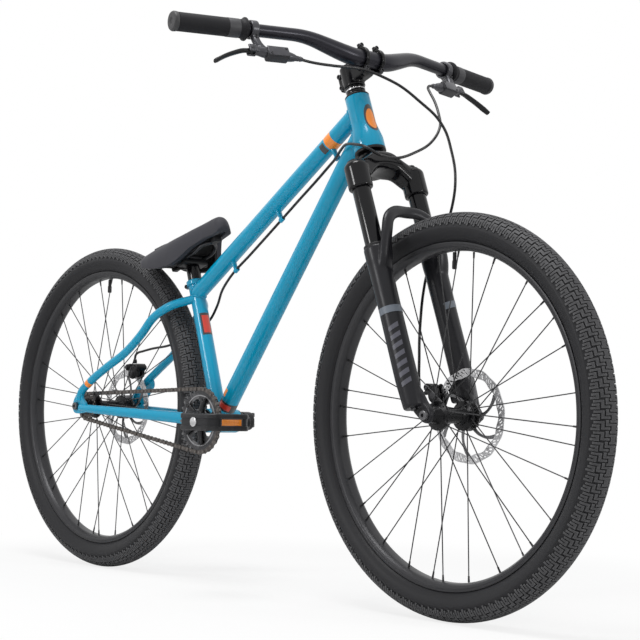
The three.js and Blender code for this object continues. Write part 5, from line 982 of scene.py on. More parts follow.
dark_steel = finish("dark_steel", (0.16, 0.16, 0.165), 0.35, metallic=0.9, tint=0.1)
rotor_steel = finish("rotor_steel", (0.5, 0.5, 0.51), 0.32, metallic=1.0, tint=0.08, size=60, spread=0.1,
                     grain_size=1800, grain_depth=0.15)
# The tread is paler than the casing rubber. Its black is the tyre's own, and the extra lightness is painted
# light on the block tops.
tread_rubber_painted_light = finish("tread_rubber_painted_light", (0.05, 0.05, 0.053), 0.6, tint=0.3, size=60, spread=0.1, grain_size=700,
                      grain_depth=0.2, specular=0.3,
                      worn=(0.13, 0.13, 0.134), wear=0.6)
side_rubber = finish("side_rubber", (0.016, 0.016, 0.018), 0.5, tint=0.15, size=14, spread=0.08,
                     grain_size=500, grain_depth=0.08, specular=0.22)
rim_alloy = finish("rim_alloy", (0.035, 0.035, 0.038), 0.36, metallic=0.3, tint=0.08, grain_size=1400,
                   grain_depth=0.04, specular=0.3)
hub_alloy = finish("hub_alloy", (0.005, 0.005, 0.006), 0.26, metallic=0.2, tint=0.1, worn=(0.1, 0.1, 0.1),
                   wear=0.3, specular=0.25)
spoke_steel = finish("spoke_steel", (0.035, 0.035, 0.037), 0.3, metallic=0.7, tint=0.15)
axle_steel = finish("axle_steel", (0.11, 0.11, 0.115), 0.36, metallic=0.9, tint=0.1, worn=(0.3, 0.3, 0.3))


def rotor(offset):
    """A wavy rotor: a track from 65.2 + 1.3 cos 12a to 79 + 0.9 cos 12a mm with slanted slots, six swept
    arms and an inner ring with its bolts."""
    steps, waves = 432, 12
    angle = np.linspace(0, 2 * np.pi, steps, endpoint=False)
    rows = np.linspace(0, 1, 9)
    inner_wave, outer_wave = 65.2 + 1.3 * np.cos(waves * angle), 79 + 0.9 * np.cos(waves * angle)
    grid_radius = inner_wave[None] * (1 - rows[:, None]) + outer_wave[None] * rows[:, None]
    slant = angle[None] + 0.16 * rows[:, None]
    flat = lambda y: np.stack([grid_radius * np.cos(slant), np.full_like(slant, y),
                               grid_radius * np.sin(slant)], -1)
    keep = np.ones((8, steps), bool)
    cell = np.arange(steps) % 12
    long_slot = (np.arange(steps) // 12) % 3 != 2
    keep[1:4] &= ~((cell >= 2) & (cell < 5))
    keep[5:7] &= ~((cell >= 2) & (cell < 5))
    keep[3:6] &= ~((cell >= 8) & (cell < 11) & long_slot)
    track = cut_plate(flat(offset + 0.9), flat(offset - 0.9), keep)
    arms = []
    for k in range(6):
        sweep = np.linspace(0, 1, 12)
        radius = 21 + 46 * sweep
        turn = 2 * np.pi * k / 6 + 0.55 * sweep ** 1.2
        line = np.stack([radius * np.cos(turn), np.full(12, offset), radius * np.sin(turn)], -1)
        wide = 2.1 + 1.4 * np.abs(sweep - 0.5) * 2
        corners = np.stack([np.stack([s * wide, t * np.full(12, 0.88)], -1)
                            for s, t in ((1, 1), (-1, 1), (-1, -1), (1, -1))], 1)
        arms.append(carried(line, corners, reference=(0, 1, 0)))
    middle = ring(-0.9, 0.9, 12, 25, 0.25, (0, offset, 0), (0, 1, 0), 72)
    turn = 2 * np.pi * (np.arange(6) + 0.3) / 6
    heads = [bolt((22 * np.cos(a), offset + 0.9, 22 * np.sin(a)), (0, 1, 0), 3.6, 2.2) for a in turn]
    return track, together(middle, *arms), together(*heads)


def hub(right_end, left_end, right_flange, left_flange, rotor_at):
    """The hub shell: barrel, two drilled flanges, the rotor's seat and the ends, turned about Y."""
    rows = [[-right_end, 5.7], [-right_end, 9.3], [-right_end + 3, 11], [-right_flange - 3.5, 15.5],
            [-right_flange - 2, 24.6], [-right_flange + 2, 24.6],
            [-right_flange + 4, 15.5], [-right_flange + 12, 12.6], [left_flange - 12, 12.6],
            [left_flange - 4, 15.5], [left_flange - 2, 24.6],
            [left_flange + 2, 24.6], [left_flange + 3.5, 18], [rotor_at - 1.2, 19.2], [rotor_at - 1.2, 12],
            [rotor_at + 1, 9.4],
            [left_end, 9.3], [left_end, 5.7]]
    return lathed(rows, 1.2, axis=(0, 1, 0), sides=72, tube=True)


def bolt_on_axle(half, grip):
    """A steel axle with a round allen-headed bolt at each end, outside the plates."""
    rows = np.array([[grip, 4.9], [grip, 8], [half - 0.8, 8], [half, 7.2], [half, 3.2], [half - 3.5, 3.0],
                     [half - 3.5, 0.02]])
    return turned(np.vstack([rows[::-1] * [-1, 1], rows]), axis=(0, 1, 0), sides=48)


valve = solid_round(-22, 0, 3, 0.7, rim_foot, sides=20)
cap_rows = [[-31, 0.02], [-31, 3.4], [-29, 4.1], [-18, 4.1], [-16, 3.3], [-3, 3.3], [-3, 0.02]]
valve_cap = lathed(cap_rows, 0.8, rim_foot, sides=20)
for end, centre, body, offset, ends, grip in (
    ("front", front_axle_place, "front_wheel", 40, (50, 50, 33, 26), 62.3),
    ("rear", rear_axle_place, "rear_wheel", 52, (35.7, 67.5, 27, 36), 74.1),
):
    on_wheel = lambda shape: moved(shape, centre)
    right_end, left_end, right_flange, left_flange = ends
    piece(end + "_tyre_tread", body, [(side_rubber, casing), (tread_rubber_painted_light, tread)],
          [end + "_tyre"], 30, on_wheel)
    piece(end + "_rim_hoop", body, [(rim_alloy, rim), (rotor_steel, valve), (seal_rubber, valve_cap)],
          [end + "_rim"], place=on_wheel)
    right, left = spoke_set(-right_flange, 0), spoke_set(left_flange, 0.5)
    piece(end + "_hub_and_spokes", body, [
        (hub_alloy, hub(*ends, offset)), (spoke_steel, right[0], left[0], right[2], left[2]),
        (hub_alloy, right[1], left[1]),
    ], [end + "_hub_spokes"], place=on_wheel)
    disc, spider, disc_bolts = rotor(offset)
    piece(end + "_brake_rotor", body, [(rotor_steel, disc), (dark_steel, spider), (dark_bolts, disc_bolts)],
          [end + "_rotor"], 30, on_wheel)
    piece(end + "_axle_bolts", "lowers" if end == "front" else "root",
          [(axle_steel, bolt_on_axle(grip + 6.5, grip))],
          [end + "_axle"], place=on_wheel)

# ---------------------------------------------------------------- Brake calipers
# Two-piston hydraulic calipers of black cast alloy, split down the rotor's plane, each with a bridge
# over the rotor's edge, two mounting bolts and a boot where the hose enters.
caliper_alloy = finish("caliper_alloy", (0.006, 0.006, 0.007), 0.34, metallic=0.2, tint=0.15, grain_size=1200,
                       grain_depth=0.1,
                       worn=(0.12, 0.12, 0.12), wear=0.5, specular=0.28)


def caliper(rotor_at, boot_rise):
    """The caliper in its own frame: X away from the axle, Y across the rotor, Z along it."""
    low, high = rotor_at - 14, rotor_at + 15
    inner = block((-11, low + 4, -19), (11, rotor_at - 2.2, 19), 4)
    outer = block((-11, rotor_at + 2.2, -19), (11, high - 5, 19), 4)
    bridge = [block((2, low + 4, z - 5.5), (17.5, high - 4, z + 5.5), 3.5) for z in (-15, 15)]
    cheeks = [lathed([[0, 0.02], [0, 14.5], [5.4, 12.8], [5.4, 9.5], [7.2, 9], [7.2, 0.02]], 1.6,
                     (-1.5, high - 7.4, 0), (0, 1, 0), 48),
              lathed([[0, 0.02], [0, 14.5], [4.2, 12.8], [4.2, 9.5], [5.8, 9], [5.8, 0.02]], 1.6,
                     (-1.5, low + 5.8, 0), (0, -1, 0), 48)]
    feet = [solid_round(0, 22, 6.8, 1.5, (9.5, low + 1, z), (0, 1, 0), 32) for z in (-18.2, 18.2)]
    boss = solid_round(-4, 4, 6.2, 1.2, (12, rotor_at, boot_rise), (1, 0, 0), 32)
    body = cast([inner, outer] + bridge + cheeks + feet + [boss], 0.8, 3)
    screws = [bolt((9.5, y, z), (0, s, 0), 4.2, 2.2) for z in (-18.2, 18.2)
              for y, s in ((low + 23, 1), (low + 1.2, -1))]
    hex_face = solid_round(0, 1.0, 6.5, 0.3, (-1.5, low + 0.2, 0), (0, -1, 0), 6)
    boot = lathed([[0, 0.02], [0, 4.4], [6, 4.2], [9, 3.4], [9, 0.02]], 0.6, (18, rotor_at, boot_rise),
                  (1, 0, 0), 28)
    return body, together(*screws, hex_face), boot


def caliper_spot(turn):
    """From the axle to a caliper's centre, over the rotor's edge: the reach times cos and sin of the turn."""
    return caliper_reach * np.array([np.cos(turn), 0, np.sin(turn)])


front_spot = np.array([hub_forward, 0, hub_rise]) + caliper_spot(caliper_turn)
rear_spot = rear_axle_place + caliper_spot(np.radians(67))
front_axes = np.array([[-1, 0, 0], [0, 1, 0], [0, 0, 1.0]])
rear_axes = np.array([[0, 0, 1.0], [0, 1, 0], [-1, 0, 0]])
for end, body, rotor_at, boot_rise, place in (
    ("front", "lowers", 40, 14, lambda shape: on_steering(moved(shape, front_spot, front_axes))),
    ("rear", "root", 52, 6, lambda shape: moved(shape, rear_spot, rear_axes)),
):
    casting, screws, boot = caliper(rotor_at, boot_rise)
    piece(end + "_brake_caliper", body, [(caliper_alloy, casting), (dark_bolts, screws), (seal_rubber, boot)],
          [end + "_caliper"], 60, place)

# ---------------------------------------------------------------- Drive
# Single-speed drive on the right: a 30 tooth steel ring on forged arms, a 13 tooth sprocket on the
# rear hub's driver, a half-inch chain of plates, rollers and pins, and square-edged resin pedals.
pitch, ring_teeth, sprocket_teeth, chain_side = 12.7, 30, 13, -48.0
ring_radius, sprocket_radius = pitch * ring_teeth / (2 * np.pi), pitch * sprocket_teeth / (2 * np.pi)
drive = np.array([-395.5, 21.5])
drive_length = np.hypot(*drive)
drive_angle = np.arctan2(drive[1], drive[0])
lean_angle = np.arccos((ring_radius - sprocket_radius) / drive_length)
straight_run = drive_length * np.sin(lean_angle)
ring_arc = (2 * np.pi - 2 * lean_angle) * ring_radius
sprocket_arc = 2 * lean_angle * sprocket_radius
chain_total = straight_run * 2 + ring_arc + sprocket_arc
link_count = int(round(chain_total / pitch / 2)) * 2
link_step = chain_total / link_count


def chain_place(distance):
    """Points of the chain's line at these distances: round the ring from the top, back below, round the
    sprocket and home above; [x, z] from the bottom bracket."""
    d = np.mod(distance, chain_total)
    low, high = drive_angle + lean_angle, drive_angle - lean_angle
    polar = lambda angle, radius: np.stack([np.cos(angle) * radius, np.sin(angle) * radius], -1)
    still = lambda angle, radius: polar(np.full_like(d, angle), radius)
    on_ring = polar(high - d / ring_radius, ring_radius)
    u = ((d - ring_arc) / straight_run)[:, None]
    below = still(low, ring_radius) * (1 - u) + (still(low, sprocket_radius) + drive) * u
    on_sprocket = polar(low - (d - ring_arc - straight_run) / sprocket_radius, sprocket_radius) + drive
    v = ((d - ring_arc - straight_run - sprocket_arc) / straight_run)[:, None]
    above = (still(high, sprocket_radius) + drive) * (1 - v) + still(high, ring_radius) * v
    stage = np.digitize(d, np.cumsum([ring_arc, straight_run, sprocket_arc]))[:, None]
    return np.select([stage == 0, stage == 1, stage == 2], [on_ring, below, on_sprocket], above)


def repeated(shape, origins, along, upward):
    """Copies of a small shape, one at each origin with its X along and its Z upward."""
    points, faces = shape
    along, upward = unit(along), unit(upward)
    side = np.cross(upward, along)
    axes = np.stack([along, side, upward], 1)
    placed = np.einsum("mk,nkj->nmj", points, axes) + origins[:, None]
    shift = (np.arange(len(origins)) * len(points))[:, None, None]
    return placed.reshape(-1, 3), [(f[None] + shift).reshape(-1, f.shape[1]) for f in faces]


bend = np.linspace(-np.pi / 2, np.pi / 2, 6)
link_outline = np.vstack([
    np.stack([6.35 + 4.1 * np.cos(bend), 4.1 * np.sin(bend)], -1), [[0, 3.0]],
    np.stack([-6.35 - 4.1 * np.cos(bend), -4.1 * np.sin(bend)], -1), [[0, -3.0]]])
joints = chain_place(np.arange(link_count) * link_step)
after = np.roll(joints, -1, 0)
middle = (joints + after) / 2
lift = lambda flat, y: np.stack([flat[:, 0], np.full(len(flat), y), flat[:, 1]], -1)
link_along = lift(after - joints, 0.0)
link_up = np.stack([-link_along[:, 2], np.zeros(link_count), link_along[:, 0]], -1)
parts = []
for start, near, far in ((0, 2.5, 3.45), (1, 1.5, 2.45)):
    for low, high in ((near, far), (-far, -near)):
        small = plate(link_outline, low, high, 0.25)
        parts.append(repeated(small, lift(middle[start::2], 0.0), link_along[start::2], link_up[start::2]))
pin_spots = lift(joints, 0.0)
rollers = rods(pin_spots - [0, 1.6, 0], pin_spots + [0, 1.6, 0], (3.9, 3.9), 14)
pins = rods(pin_spots - [0, 3.5, 0], pin_spots + [0, 3.5, 0], (1.9, 1.9), 10)
chain_metal = finish("chain_metal", (0.085, 0.075, 0.07), 0.36, metallic=0.9, tint=0.35, size=80, spread=0.15,
                     worn=(0.3, 0.28, 0.26), wear=0.5)
on_bracket = lambda shape: moved(shape, bottom_bracket)
on_chainline = lambda shape: moved(shape, bottom_bracket + [0, chain_side, 0])
piece("drive_chain", "root", [(chain_metal, *parts, rollers, pins)], ["chain"],
      place=on_chainline)


def toothed(radius, teeth, first, inner_radius, windows=0):
    """A toothed disc 2.4 mm thick: the rim's radius falls from each tooth's tip to the roller's seat by
    a smooth step, and windows are left out between arms."""
    steps = teeth * 12
    angle = np.arange(steps) * 2 * np.pi / steps + first + np.pi / teeth
    swing = np.abs((np.arange(steps) / 12 + 0.5) % 1 - 0.5)
    rise = np.clip((0.34 - swing) / 0.24, 0, 1)
    rim_radius = radius - 3.7 + 6.0 * rise * rise * (3 - 2 * rise)
    levels = np.array([0, 0.2, 0.3, 0.58, 0.68, 1.0]) if windows else np.linspace(0, 1, 4)
    body = inner_radius + (radius - 5.6 - inner_radius) * levels
    grid_radius = np.vstack([np.broadcast_to(body[:, None], (len(body), steps)), rim_radius[None]])
    grid = lambda y, shrink: np.stack([(grid_radius - shrink) * np.cos(angle), np.full(grid_radius.shape, y),
                                       (grid_radius - shrink) * np.sin(angle)], -1)
    keep = np.ones((len(body), steps), bool)
    if windows:
        share = (np.arange(steps) / steps * windows) % 1
        keep[1:4] &= ~((share > 0.3) & (share < 0.7))[None]
        keep[2:3] &= ~((share > 0.22) & (share < 0.78))[None]
    return cut_plate(grid(1.2, 0), grid(-1.2, 0), keep)


ring_roller = round(ring_arc / 2 / link_step)
ring_first = drive_angle - lean_angle - ring_roller * link_step / ring_radius
rear_roller = round((ring_arc + straight_run + sprocket_arc / 2) / link_step)
rear_first = drive_angle + lean_angle - (rear_roller * link_step - ring_arc - straight_run) / sprocket_radius
ring_steel = finish("ring_steel", (0.05, 0.05, 0.053), 0.34, metallic=0.7, tint=0.12, worn=(0.35, 0.35, 0.36),
                    wear=0.7)
bright_edge = finish("machined_edge", (0.3, 0.3, 0.31), 0.3, metallic=0.9, tint=0.1)
crank_alloy = finish("crank_alloy", (0.017, 0.017, 0.019), 0.34, metallic=0.3, tint=0.12, grain_size=1000,
                     grain_depth=0.06, worn=(0.14, 0.14, 0.14), wear=0.5, specular=0.3)
chainring = toothed(ring_radius, ring_teeth, ring_first, 15, 5)
rim_ring = ring(-1.9, 1.9, 46.4, 49.2, 0.6, axis=(0, 1, 0), sides=120)
piece("chainring_30", "crank", [(ring_steel, chainring), (bright_edge, rim_ring)],
      ["chainring"], 30, on_chainline)
driver_rows = [[-67.5, 5.9], [-67.5, 10.5], [-63, 14], [-52, 15], [-51, 17], [-36.2, 17], [-36.2, 5.9]]
piece("sprocket_and_driver", "driver", [
    (chain_metal, moved(toothed(sprocket_radius, sprocket_teeth, rear_first, 6), (0, chain_side, 0))),
    (hub_alloy, lathed(driver_rows, 0.8, axis=(0, 1, 0), tube=True)),
], ["rear_sprocket"], 30, lambda shape: moved(shape, rear_axle_place))
for side, turn, end in (("left", same, 49.7), ("right", other_side, 46.5)):
    rows = [[28.5, 12.8], [28.5, 20.2], [36.8, 20.2], [36.8, 22], [39.6, 22], [41, 18.5], [end, 16.8],
            [end, 12.8]]
    piece("bracket_cup_" + side, "root",
          [(satin_black, turn(lathed(rows, 0.6, axis=(0, 1, 0), sides=72, tube=True)))],
          ["bb_cup_" + side], place=on_bracket)


crank_length, pedal_side = 170, 143


def crank_arm():
    """A forged arm along X on the left side: boss, pedal eye, and a tapering square-shouldered arm with
    sections of |cos|^0.45 of its half thickness by |sin|^0.45 of its half height."""
    boss = lathed([[50, 0.02], [50, 18], [70.5, 18], [72, 16], [72, 0.02]], 1.5, axis=(0, 1, 0), sides=64)
    eye = solid_round(69, 84, 13, 2, (crank_length, 0, 0), (0, 1, 0), 56)
    rows = smooth_line(np.array([[4, 61, 6.5, 15.5], [48, 68.5, 6.5, 14.5], [110, 76.5, 6.5, 12.6],
                                 [166, 76.5, 6.5, 11.4]]), 30)
    angle = np.linspace(0, 2 * np.pi, 40, endpoint=False)
    c, s = np.cos(angle), np.sin(angle)
    y = rows[:, 1:2] + rows[:, 2:3] * np.sign(c) * np.abs(c) ** 0.45
    z = rows[:, 3:4] * np.sign(s) * np.abs(s) ** 0.45
    arm = skin(np.stack([np.broadcast_to(rows[:, :1], y.shape), y, z], -1))
    return [boss, eye, arm]


spider, five_turns = [], 2 * np.pi * np.arange(5) / 5 + ring_first
for turn in five_turns:
    way = np.array([np.cos(turn), 0, np.sin(turn)])
    arm_line = np.array([14, 24, 34, 44, 48])[:, None] * way + [0, 53, 0]
    arm_section = oval(np.array([8.5, 6.5, 5.6, 6.2, 4.5]), np.array([3, 3, 2.8, 2.6, 2.2]), 24)
    spider.append(carried(arm_line, arm_section, reference=(0, 1, 0)))
right_arm = other_side(cast(crank_arm() + spider, 1.2, 4))
spider_bolts = [bolt((43 * np.cos(a), 54.6, 43 * np.sin(a)), (0, 1, 0), 4.4, 1.8) for a in five_turns]
boss_cap = lathed([[70, 0.02], [70, 12], [72.6, 11.4], [72.6, 5], [71.4, 4.6], [71.4, 0.02]], 0.5,
                  axis=(0, 1, 0), sides=48)
pedal_axle = turned([[76, 6.5], [100, 6.5], [100, 5.5], [187, 5]], (crank_length, 0, 0), (0, 1, 0), 32)
half_turn = lambda shape: moved(shape, (0, 0, 0), np.array([[-1, 0, 0], [0, 1, 0], [0, 0, -1.0]]))
spindle = solid_round(-72, 51, 12, 0.8, axis=(0, 1, 0), sides=48)
piece("crank_arm_right", "crank", [
    (crank_alloy, right_arm), (dark_bolts, other_side(boss_cap)), (axle_steel, other_side(pedal_axle)),
    (dark_bolts, *map(other_side, spider_bolts)),
], ["crank_right"], 60, on_bracket)
piece("crank_arm_left", "crank", [
    (crank_alloy, half_turn(cast(crank_arm(), 1.2, 4))), (dark_bolts, half_turn(boss_cap)),
    (axle_steel, half_turn(pedal_axle)), (dark_bolts, spindle),
], ["crank_left"], 60, on_bracket)

pedal_resin = finish("pedal_resin", (0.016, 0.016, 0.018), 0.44, tint=0.14, grain_size=1100, grain_depth=0.12,
                     worn=(0.09, 0.09, 0.09), wear=0.5, specular=0.25)
amber_lens = finish("amber_lens", (0.75, 0.22, 0.005), 0.22, coat=0.8, tint=0.25, size=300, grain_size=420,
                    grain_depth=0.5)
steel_cap = finish("steel_cap", (0.62, 0.62, 0.63), 0.25, metallic=0.9, tint=0.06)


def pedal():
    """A platform pedal centred on its axle along Y: an eight-sided rim, a tube, cross bars and studs."""
    half_x, half_y, corner, rail = 50, 48, 12, 11
    outline = np.array([[-half_x, corner - half_y], [corner - half_x, -half_y], [half_x - corner, -half_y],
                        [half_x, corner - half_y],
                        [half_x, half_y - corner], [half_x - corner, half_y], [corner - half_x, half_y],
                        [-half_x, half_y - corner]])
    grow = lambda k: eased(outline * [(half_x - k) / half_x, (half_y - k) / half_y], 4, closed=True)
    rows = [(grow(1.2), 15), (grow(0), 13.5), (grow(0), 7), (grow(1.4), 6), (grow(1.4), -6), (grow(0), -7),
            (grow(0), -13.5), (grow(1.2), -15),
            (grow(rail - 1), -15), (grow(rail), -13.5), (grow(rail), 13.5), (grow(rail - 1), 15)]
    rim = skin(np.stack([np.stack([q[:, 0], q[:, 1], np.full(len(q), z)], -1) for q, z in rows]),
               round_trip=True)
    tube = ring(-47, 47, 7.4, 12.5, 1.5, axis=(0, 1, 0), sides=48)
    bars = [block((x, y - 3, -11), (x + 30, y + 3, 11), 2) for x in (-42, 12) for y in (-16, 16)]
    bars += [block((x - 3, -40, -10), (x + 3, 40, 10), 2) for x in (-26, 26)]
    spots = np.array([[x, y, 0] for x in (-45, 45) for y in (-30, -10, 10, 30)]
                     + [[x, y, 0] for x in (-22, 22) for y in (-43, 43)], float)
    studs = rods(spots - [0, 0, 14.5], spots + [0, 0, 14.5], (1.9, 1.9), 10)
    cap = lathed([[47, 0.02], [47, 9], [48.9, 8.2], [48.9, 0.02]], 0.6, axis=(0, 1, 0), sides=40)
    shine = [block((x, -22, -5.5), (x + 2.2, 22, 5.5), 1.0) for x in (-51.0, 48.8)]
    frames = [block((x, -25, -8), (x + 2, 25, 8), 0.9) for x in (-50.4, 48.4)]
    return [(pedal_resin, rim, tube, *bars, *frames), (dark_bolts, studs), (steel_cap, cap),
            (amber_lens, *shine)]


pedal_parts = pedal()
piece("pedal_platform_left", "pedal_l", pedal_parts, ["pedal_left"],
      place=lambda shape: moved(shape, bottom_bracket + [-crank_length, pedal_side, 0]))
piece("pedal_platform_right", "pedal_r", pedal_parts, ["pedal_right"],
      place=lambda shape: moved(other_side(shape), bottom_bracket + [crank_length, -pedal_side, 0]))

# ---------------------------------------------------------------- Stem and handlebar
# A short forged stem clamped on the steerer by two bolts, its open faceplate holding a charcoal riser
# bar that is thick in the middle and thinner towards the grips.
bar_alloy = finish("bar_alloy", (0.02, 0.0195, 0.026), 0.3, metallic=0.45, tint=0.08, grain_size=1400,
                   grain_depth=0.04, specular=0.35)
bar_spot = np.array([48.5, 0, 50.6])
band_sides, bar_reach, bar_half = (-18, 18), 246, 374
column = solid_round(20, 60, 19.6, 1.6, sides=64)
neck = loft([[-14, 4, 44, 28, 54], [-13, 2, 46, 27, 56], [0, 0, 48, 26, 58], [13, 2, 46, 27, 56],
             [14, 4, 44, 28, 54]], 48, 0.5)


def half_band(y, half, begin, end):
    """Part of a clamp round the bar: a rectangle of wall swept from begin to end degrees, 0 in front."""
    angle = np.radians(np.linspace(begin, end, 40))[:, None]
    way = np.concatenate([np.cos(angle), np.zeros_like(angle), np.sin(angle)], 1)
    corners = eased([[16.2, -half], [21.2, -half], [21.2, half], [16.2, half]], 1.3, closed=True)
    return skin(bar_spot + [0, y, 0] + way[:, None] * corners[None, :, :1]
                + np.array([0, 1, 0]) * corners[None, :, 1:])


clamp_back = half_band(0, 22.4, 96, 264)
ears = block((-27, -10, 23), (-12, 10, 57), 3)
stem = cast([column, neck, clamp_back, ears], 1.1, 4)
stem_screws = [bolt((-20, -10, h), (0, -1, 0), 4.4, 3.8) for h in (29, 51)]
stem_nuts = [solid_round(0, 3, 4, 0.4, (-20, 10, h), (0, 1, 0), 24) for h in (29, 51)]
piece("stem_forging", "steering", [(gloss_black, stem), (dark_bolts, *stem_screws, *stem_nuts)],
      ["stem_body"], 70, on_steering)
face_bolts = [bolt(bar_spot + [6.5, y, h], (1, 0, 0), 4, 4.2) for y in band_sides for h in (-22.4, 22.4)]
face_lugs = [block(bar_spot + [0.6, y - 4.6, h - 4.4], bar_spot + [7, y + 4.6, h + 4.4], 1.8)
             for y in band_sides for h in (-22, 22)]
piece("stem_faceplate_bands", "steering", [
    (gloss_black, *[half_band(y, 3.6, -88, 88) for y in band_sides], *face_lugs), (dark_bolts, *face_bolts),
], ["stem_faceplate"], place=on_steering)
cap_rows = [[60.3, 0.02], [60.3, 17], [62.4, 17], [63.3, 15.5], [63.3, 5], [61.5, 4.6], [61.5, 0.02]]
piece("stem_top_cap", "steering",
      [(satin_black, lathed(cap_rows, 0.5)), (dark_bolts, bolt((0, 0, 61.5), (0, 0, 1), 4, 3.6))],
      ["stem_cap"], place=on_steering)

bar_bend = bar_spot + [-12, 128, 31]
bar_end = np.array([bar_bend[0] - bar_reach * np.tan(np.radians(10.7)), bar_half,
                    bar_bend[2] + bar_reach * np.tan(np.radians(2))])
bar_out = unit(bar_end - bar_bend)
bar_knee = bar_spot + [0, 42, 0]


def arc_between(a, corner, b, count=24):
    """The curve (1-t)^2 a + 2t(1-t) corner + t^2 b."""
    t = np.linspace(0, 1, count)[:, None]
    return (1 - t) ** 2 * a + 2 * t * (1 - t) * corner + t ** 2 * b


low_bend, high_bend = bar_knee + (bar_bend - bar_knee) * 0.3, bar_knee + (bar_bend - bar_knee) * 0.7
inner_start, outer_end = bar_spot + [0, 29.4, 0], bar_bend + bar_out * 25.2
half_bar = np.vstack([np.linspace(bar_spot, inner_start, 8)[:-1],
                      arc_between(inner_start, bar_knee, low_bend)[:-1],
                      np.linspace(low_bend, high_bend, 8)[:-1],
                      arc_between(high_bend, bar_bend, outer_end)[:-1], np.linspace(outer_end, bar_end, 24)])
steps = np.concatenate([[0], np.cumsum(np.linalg.norm(np.diff(half_bar, axis=0), axis=1))])
thin = np.clip((steps / steps[-1] - 0.09) / 0.35, 0, 1)
half_radius = 15.9 + (11.1 - 15.9) * thin * thin * (3 - 2 * thin)
bar_line = np.vstack([half_bar[:0:-1] * [1, -1, 1], half_bar])
bar_radius = np.concatenate([half_radius[:0:-1], half_radius])
piece("riser_bar", "steering",
      [(bar_alloy, carried(bar_line, oval(bar_radius, sides=48), reference=(0, 0, 1)))],
      ["handlebar"], place=on_steering)

# ---------------------------------------------------------------- Grips and brake levers
# Push-on rubber grips with an inner flange and a hard end ring, and two hydraulic levers: a cast grey
# clamp and cylinder with a black reservoir, and a hooked black blade on a pin.
grip_rubber = finish("grip_rubber", (0.013, 0.013, 0.015), 0.62, tint=0.12, grain_size=700, grain_depth=0.3,
                     specular=0.2)
band_rubber = finish("band_rubber", (0.032, 0.032, 0.036), 0.5, tint=0.08)
end_rubber = finish("end_rubber", (0.05, 0.05, 0.052), 0.5, tint=0.12, grain_size=500, grain_depth=0.1,
                    specular=0.3)
lever_grey = finish("lever_grey", (0.055, 0.055, 0.062), 0.3, metallic=0.45, tint=0.08, grain_size=1200,
                    grain_depth=0.1, worn=(0.3, 0.3, 0.3), wear=0.3)
lever_black = finish("lever_black", (0.03, 0.03, 0.033), 0.4, metallic=0.2, tint=0.1, grain_size=1000,
                     grain_depth=0.08, specular=0.3)
blade_alloy = finish("blade_alloy", (0.01, 0.01, 0.011), 0.3, metallic=0.25, tint=0.1,
                     worn=(0.12, 0.12, 0.12), wear=0.35, specular=0.3)
grip_length = 136
grip_start = bar_end + bar_out * (3.3 - grip_length)
lever_line = np.array([np.sin(np.radians(12)), 0, -np.cos(np.radians(12))])
lever_line = unit(lever_line - (lever_line @ bar_out) * bar_out)
grip_axes = np.array([lever_line, np.cross(bar_out, lever_line), bar_out])

body_place = np.linspace(9, 126, 170)
ribs = 16.05 - 0.28 * (0.5 + 0.5 * np.cos(body_place * 2 * np.pi / 2.6))
ribs = np.where((body_place > 13) & (body_place < 36), 16.2, ribs)
grip_rows = np.vstack([[[0, 12], [0, 19], [0.8, 20], [2.2, 20], [3.2, 19], [4.5, 17.2]],
                       np.stack([body_place, ribs], -1), [[126.5, 15.6], [126.5, 12]]])
grip = turned(grip_rows, sides=72, joined=True)
grip_band = ring(14, 35, 15.9, 16.35, 0.15, sides=72)
grip_end = lathed([[126.8, 0.02], [126.8, 16.6], [133, 17], [grip_length, 15], [grip_length, 6], [134.6, 5],
                   [134.6, 0.02]], 1.4, sides=64)

clamp_ring = ring(-21, -7, 11.6, 16.4, 1.4, sides=56)
clamp_lug = block((13, -5.5, -20), (23, 5.5, -8), 2.5)
neck_arm = carried(smooth_line([[14, 0, -14], [28, 0, -15], [40, 0, -20], [47, 0, -26]], 16),
                   oval(6.2, 8.0, 24), reference=(0, 0, 1))
barrel_from, barrel_to = np.array([47, 0, -7.0]), np.array([55, 0, -79.0])
barrel_share = np.array([-0.02, 0.08, 0.2, 0.5, 0.75, 0.9, 1.0])
barrel = carried(barrel_from + (barrel_to - barrel_from) * barrel_share[:, None],
                 oval(np.array([7.6, 8.2, 9.6, 9.8, 9.4, 8.0, 6.4]),
                      np.array([7.8, 8.3, 9.6, 9.8, 9.4, 8.0, 6.4]), 32), reference=(1, 0, 0))
ears_pair = [block((39.5, s * 6.2 - 2, -8), (54.5, s * 6.2 + 2, 8), 1.9) for s in (-1, 1)]
lever_cast = cast([clamp_ring, clamp_lug, neck_arm, barrel] + ears_pair, 0.9, 4)
nose_way = unit(barrel_to - barrel_from)
nose = turned([[-4, 0.02], [-4, 6.2], [0, 6.0], [3, 4.9], [7, 4.7], [7.5, 4.2], [9.5, 4.2], [10, 4.6],
               [12, 4.5], [12.5, 4.0], [15.5, 3.4], [16, 2.7], [16, 0.02]],
              barrel_to, nose_way, 28)
tank = block((44, -10.5, -66), (63, 9.0, -24), 3.2)
tank_lid = block((43.4, -11.9, -65), (62.4, -10.2, -25), 0.8)
lid_screws = [bolt((x, -11.8, z), (0, -1, 0), 2.2, 1.2) for x, z in ((47, -61), (59, -30))]
clamp_screws = [bolt((19, s * 5.4, -14), (0, s, 0), 3.2, 2.6) for s in (-1, 1)]
pin_spot = (47, 0, 1)
pin = solid_round(-9, 9, 3.2, 0.6, pin_spot, (0, 1, 0), 20)
blade_rows = np.array([[0, 0], [.06, .04], [.22, .1], [.45, .3], [.7, .58], [.9, .86], [1, 1]])
blade_line = np.stack([47 + 33 * blade_rows[:, 1], np.zeros(7), 1 + 76 * blade_rows[:, 0]], -1)
blade_path = smooth_line(blade_line, 40)
run = np.linspace(0, 1, 40)
blade_wide = np.interp(run, [0, 0.1, 0.5, 0.85, 0.95, 1], [4.6, 4.0, 3.4, 3.2, 3.8, 3.2])
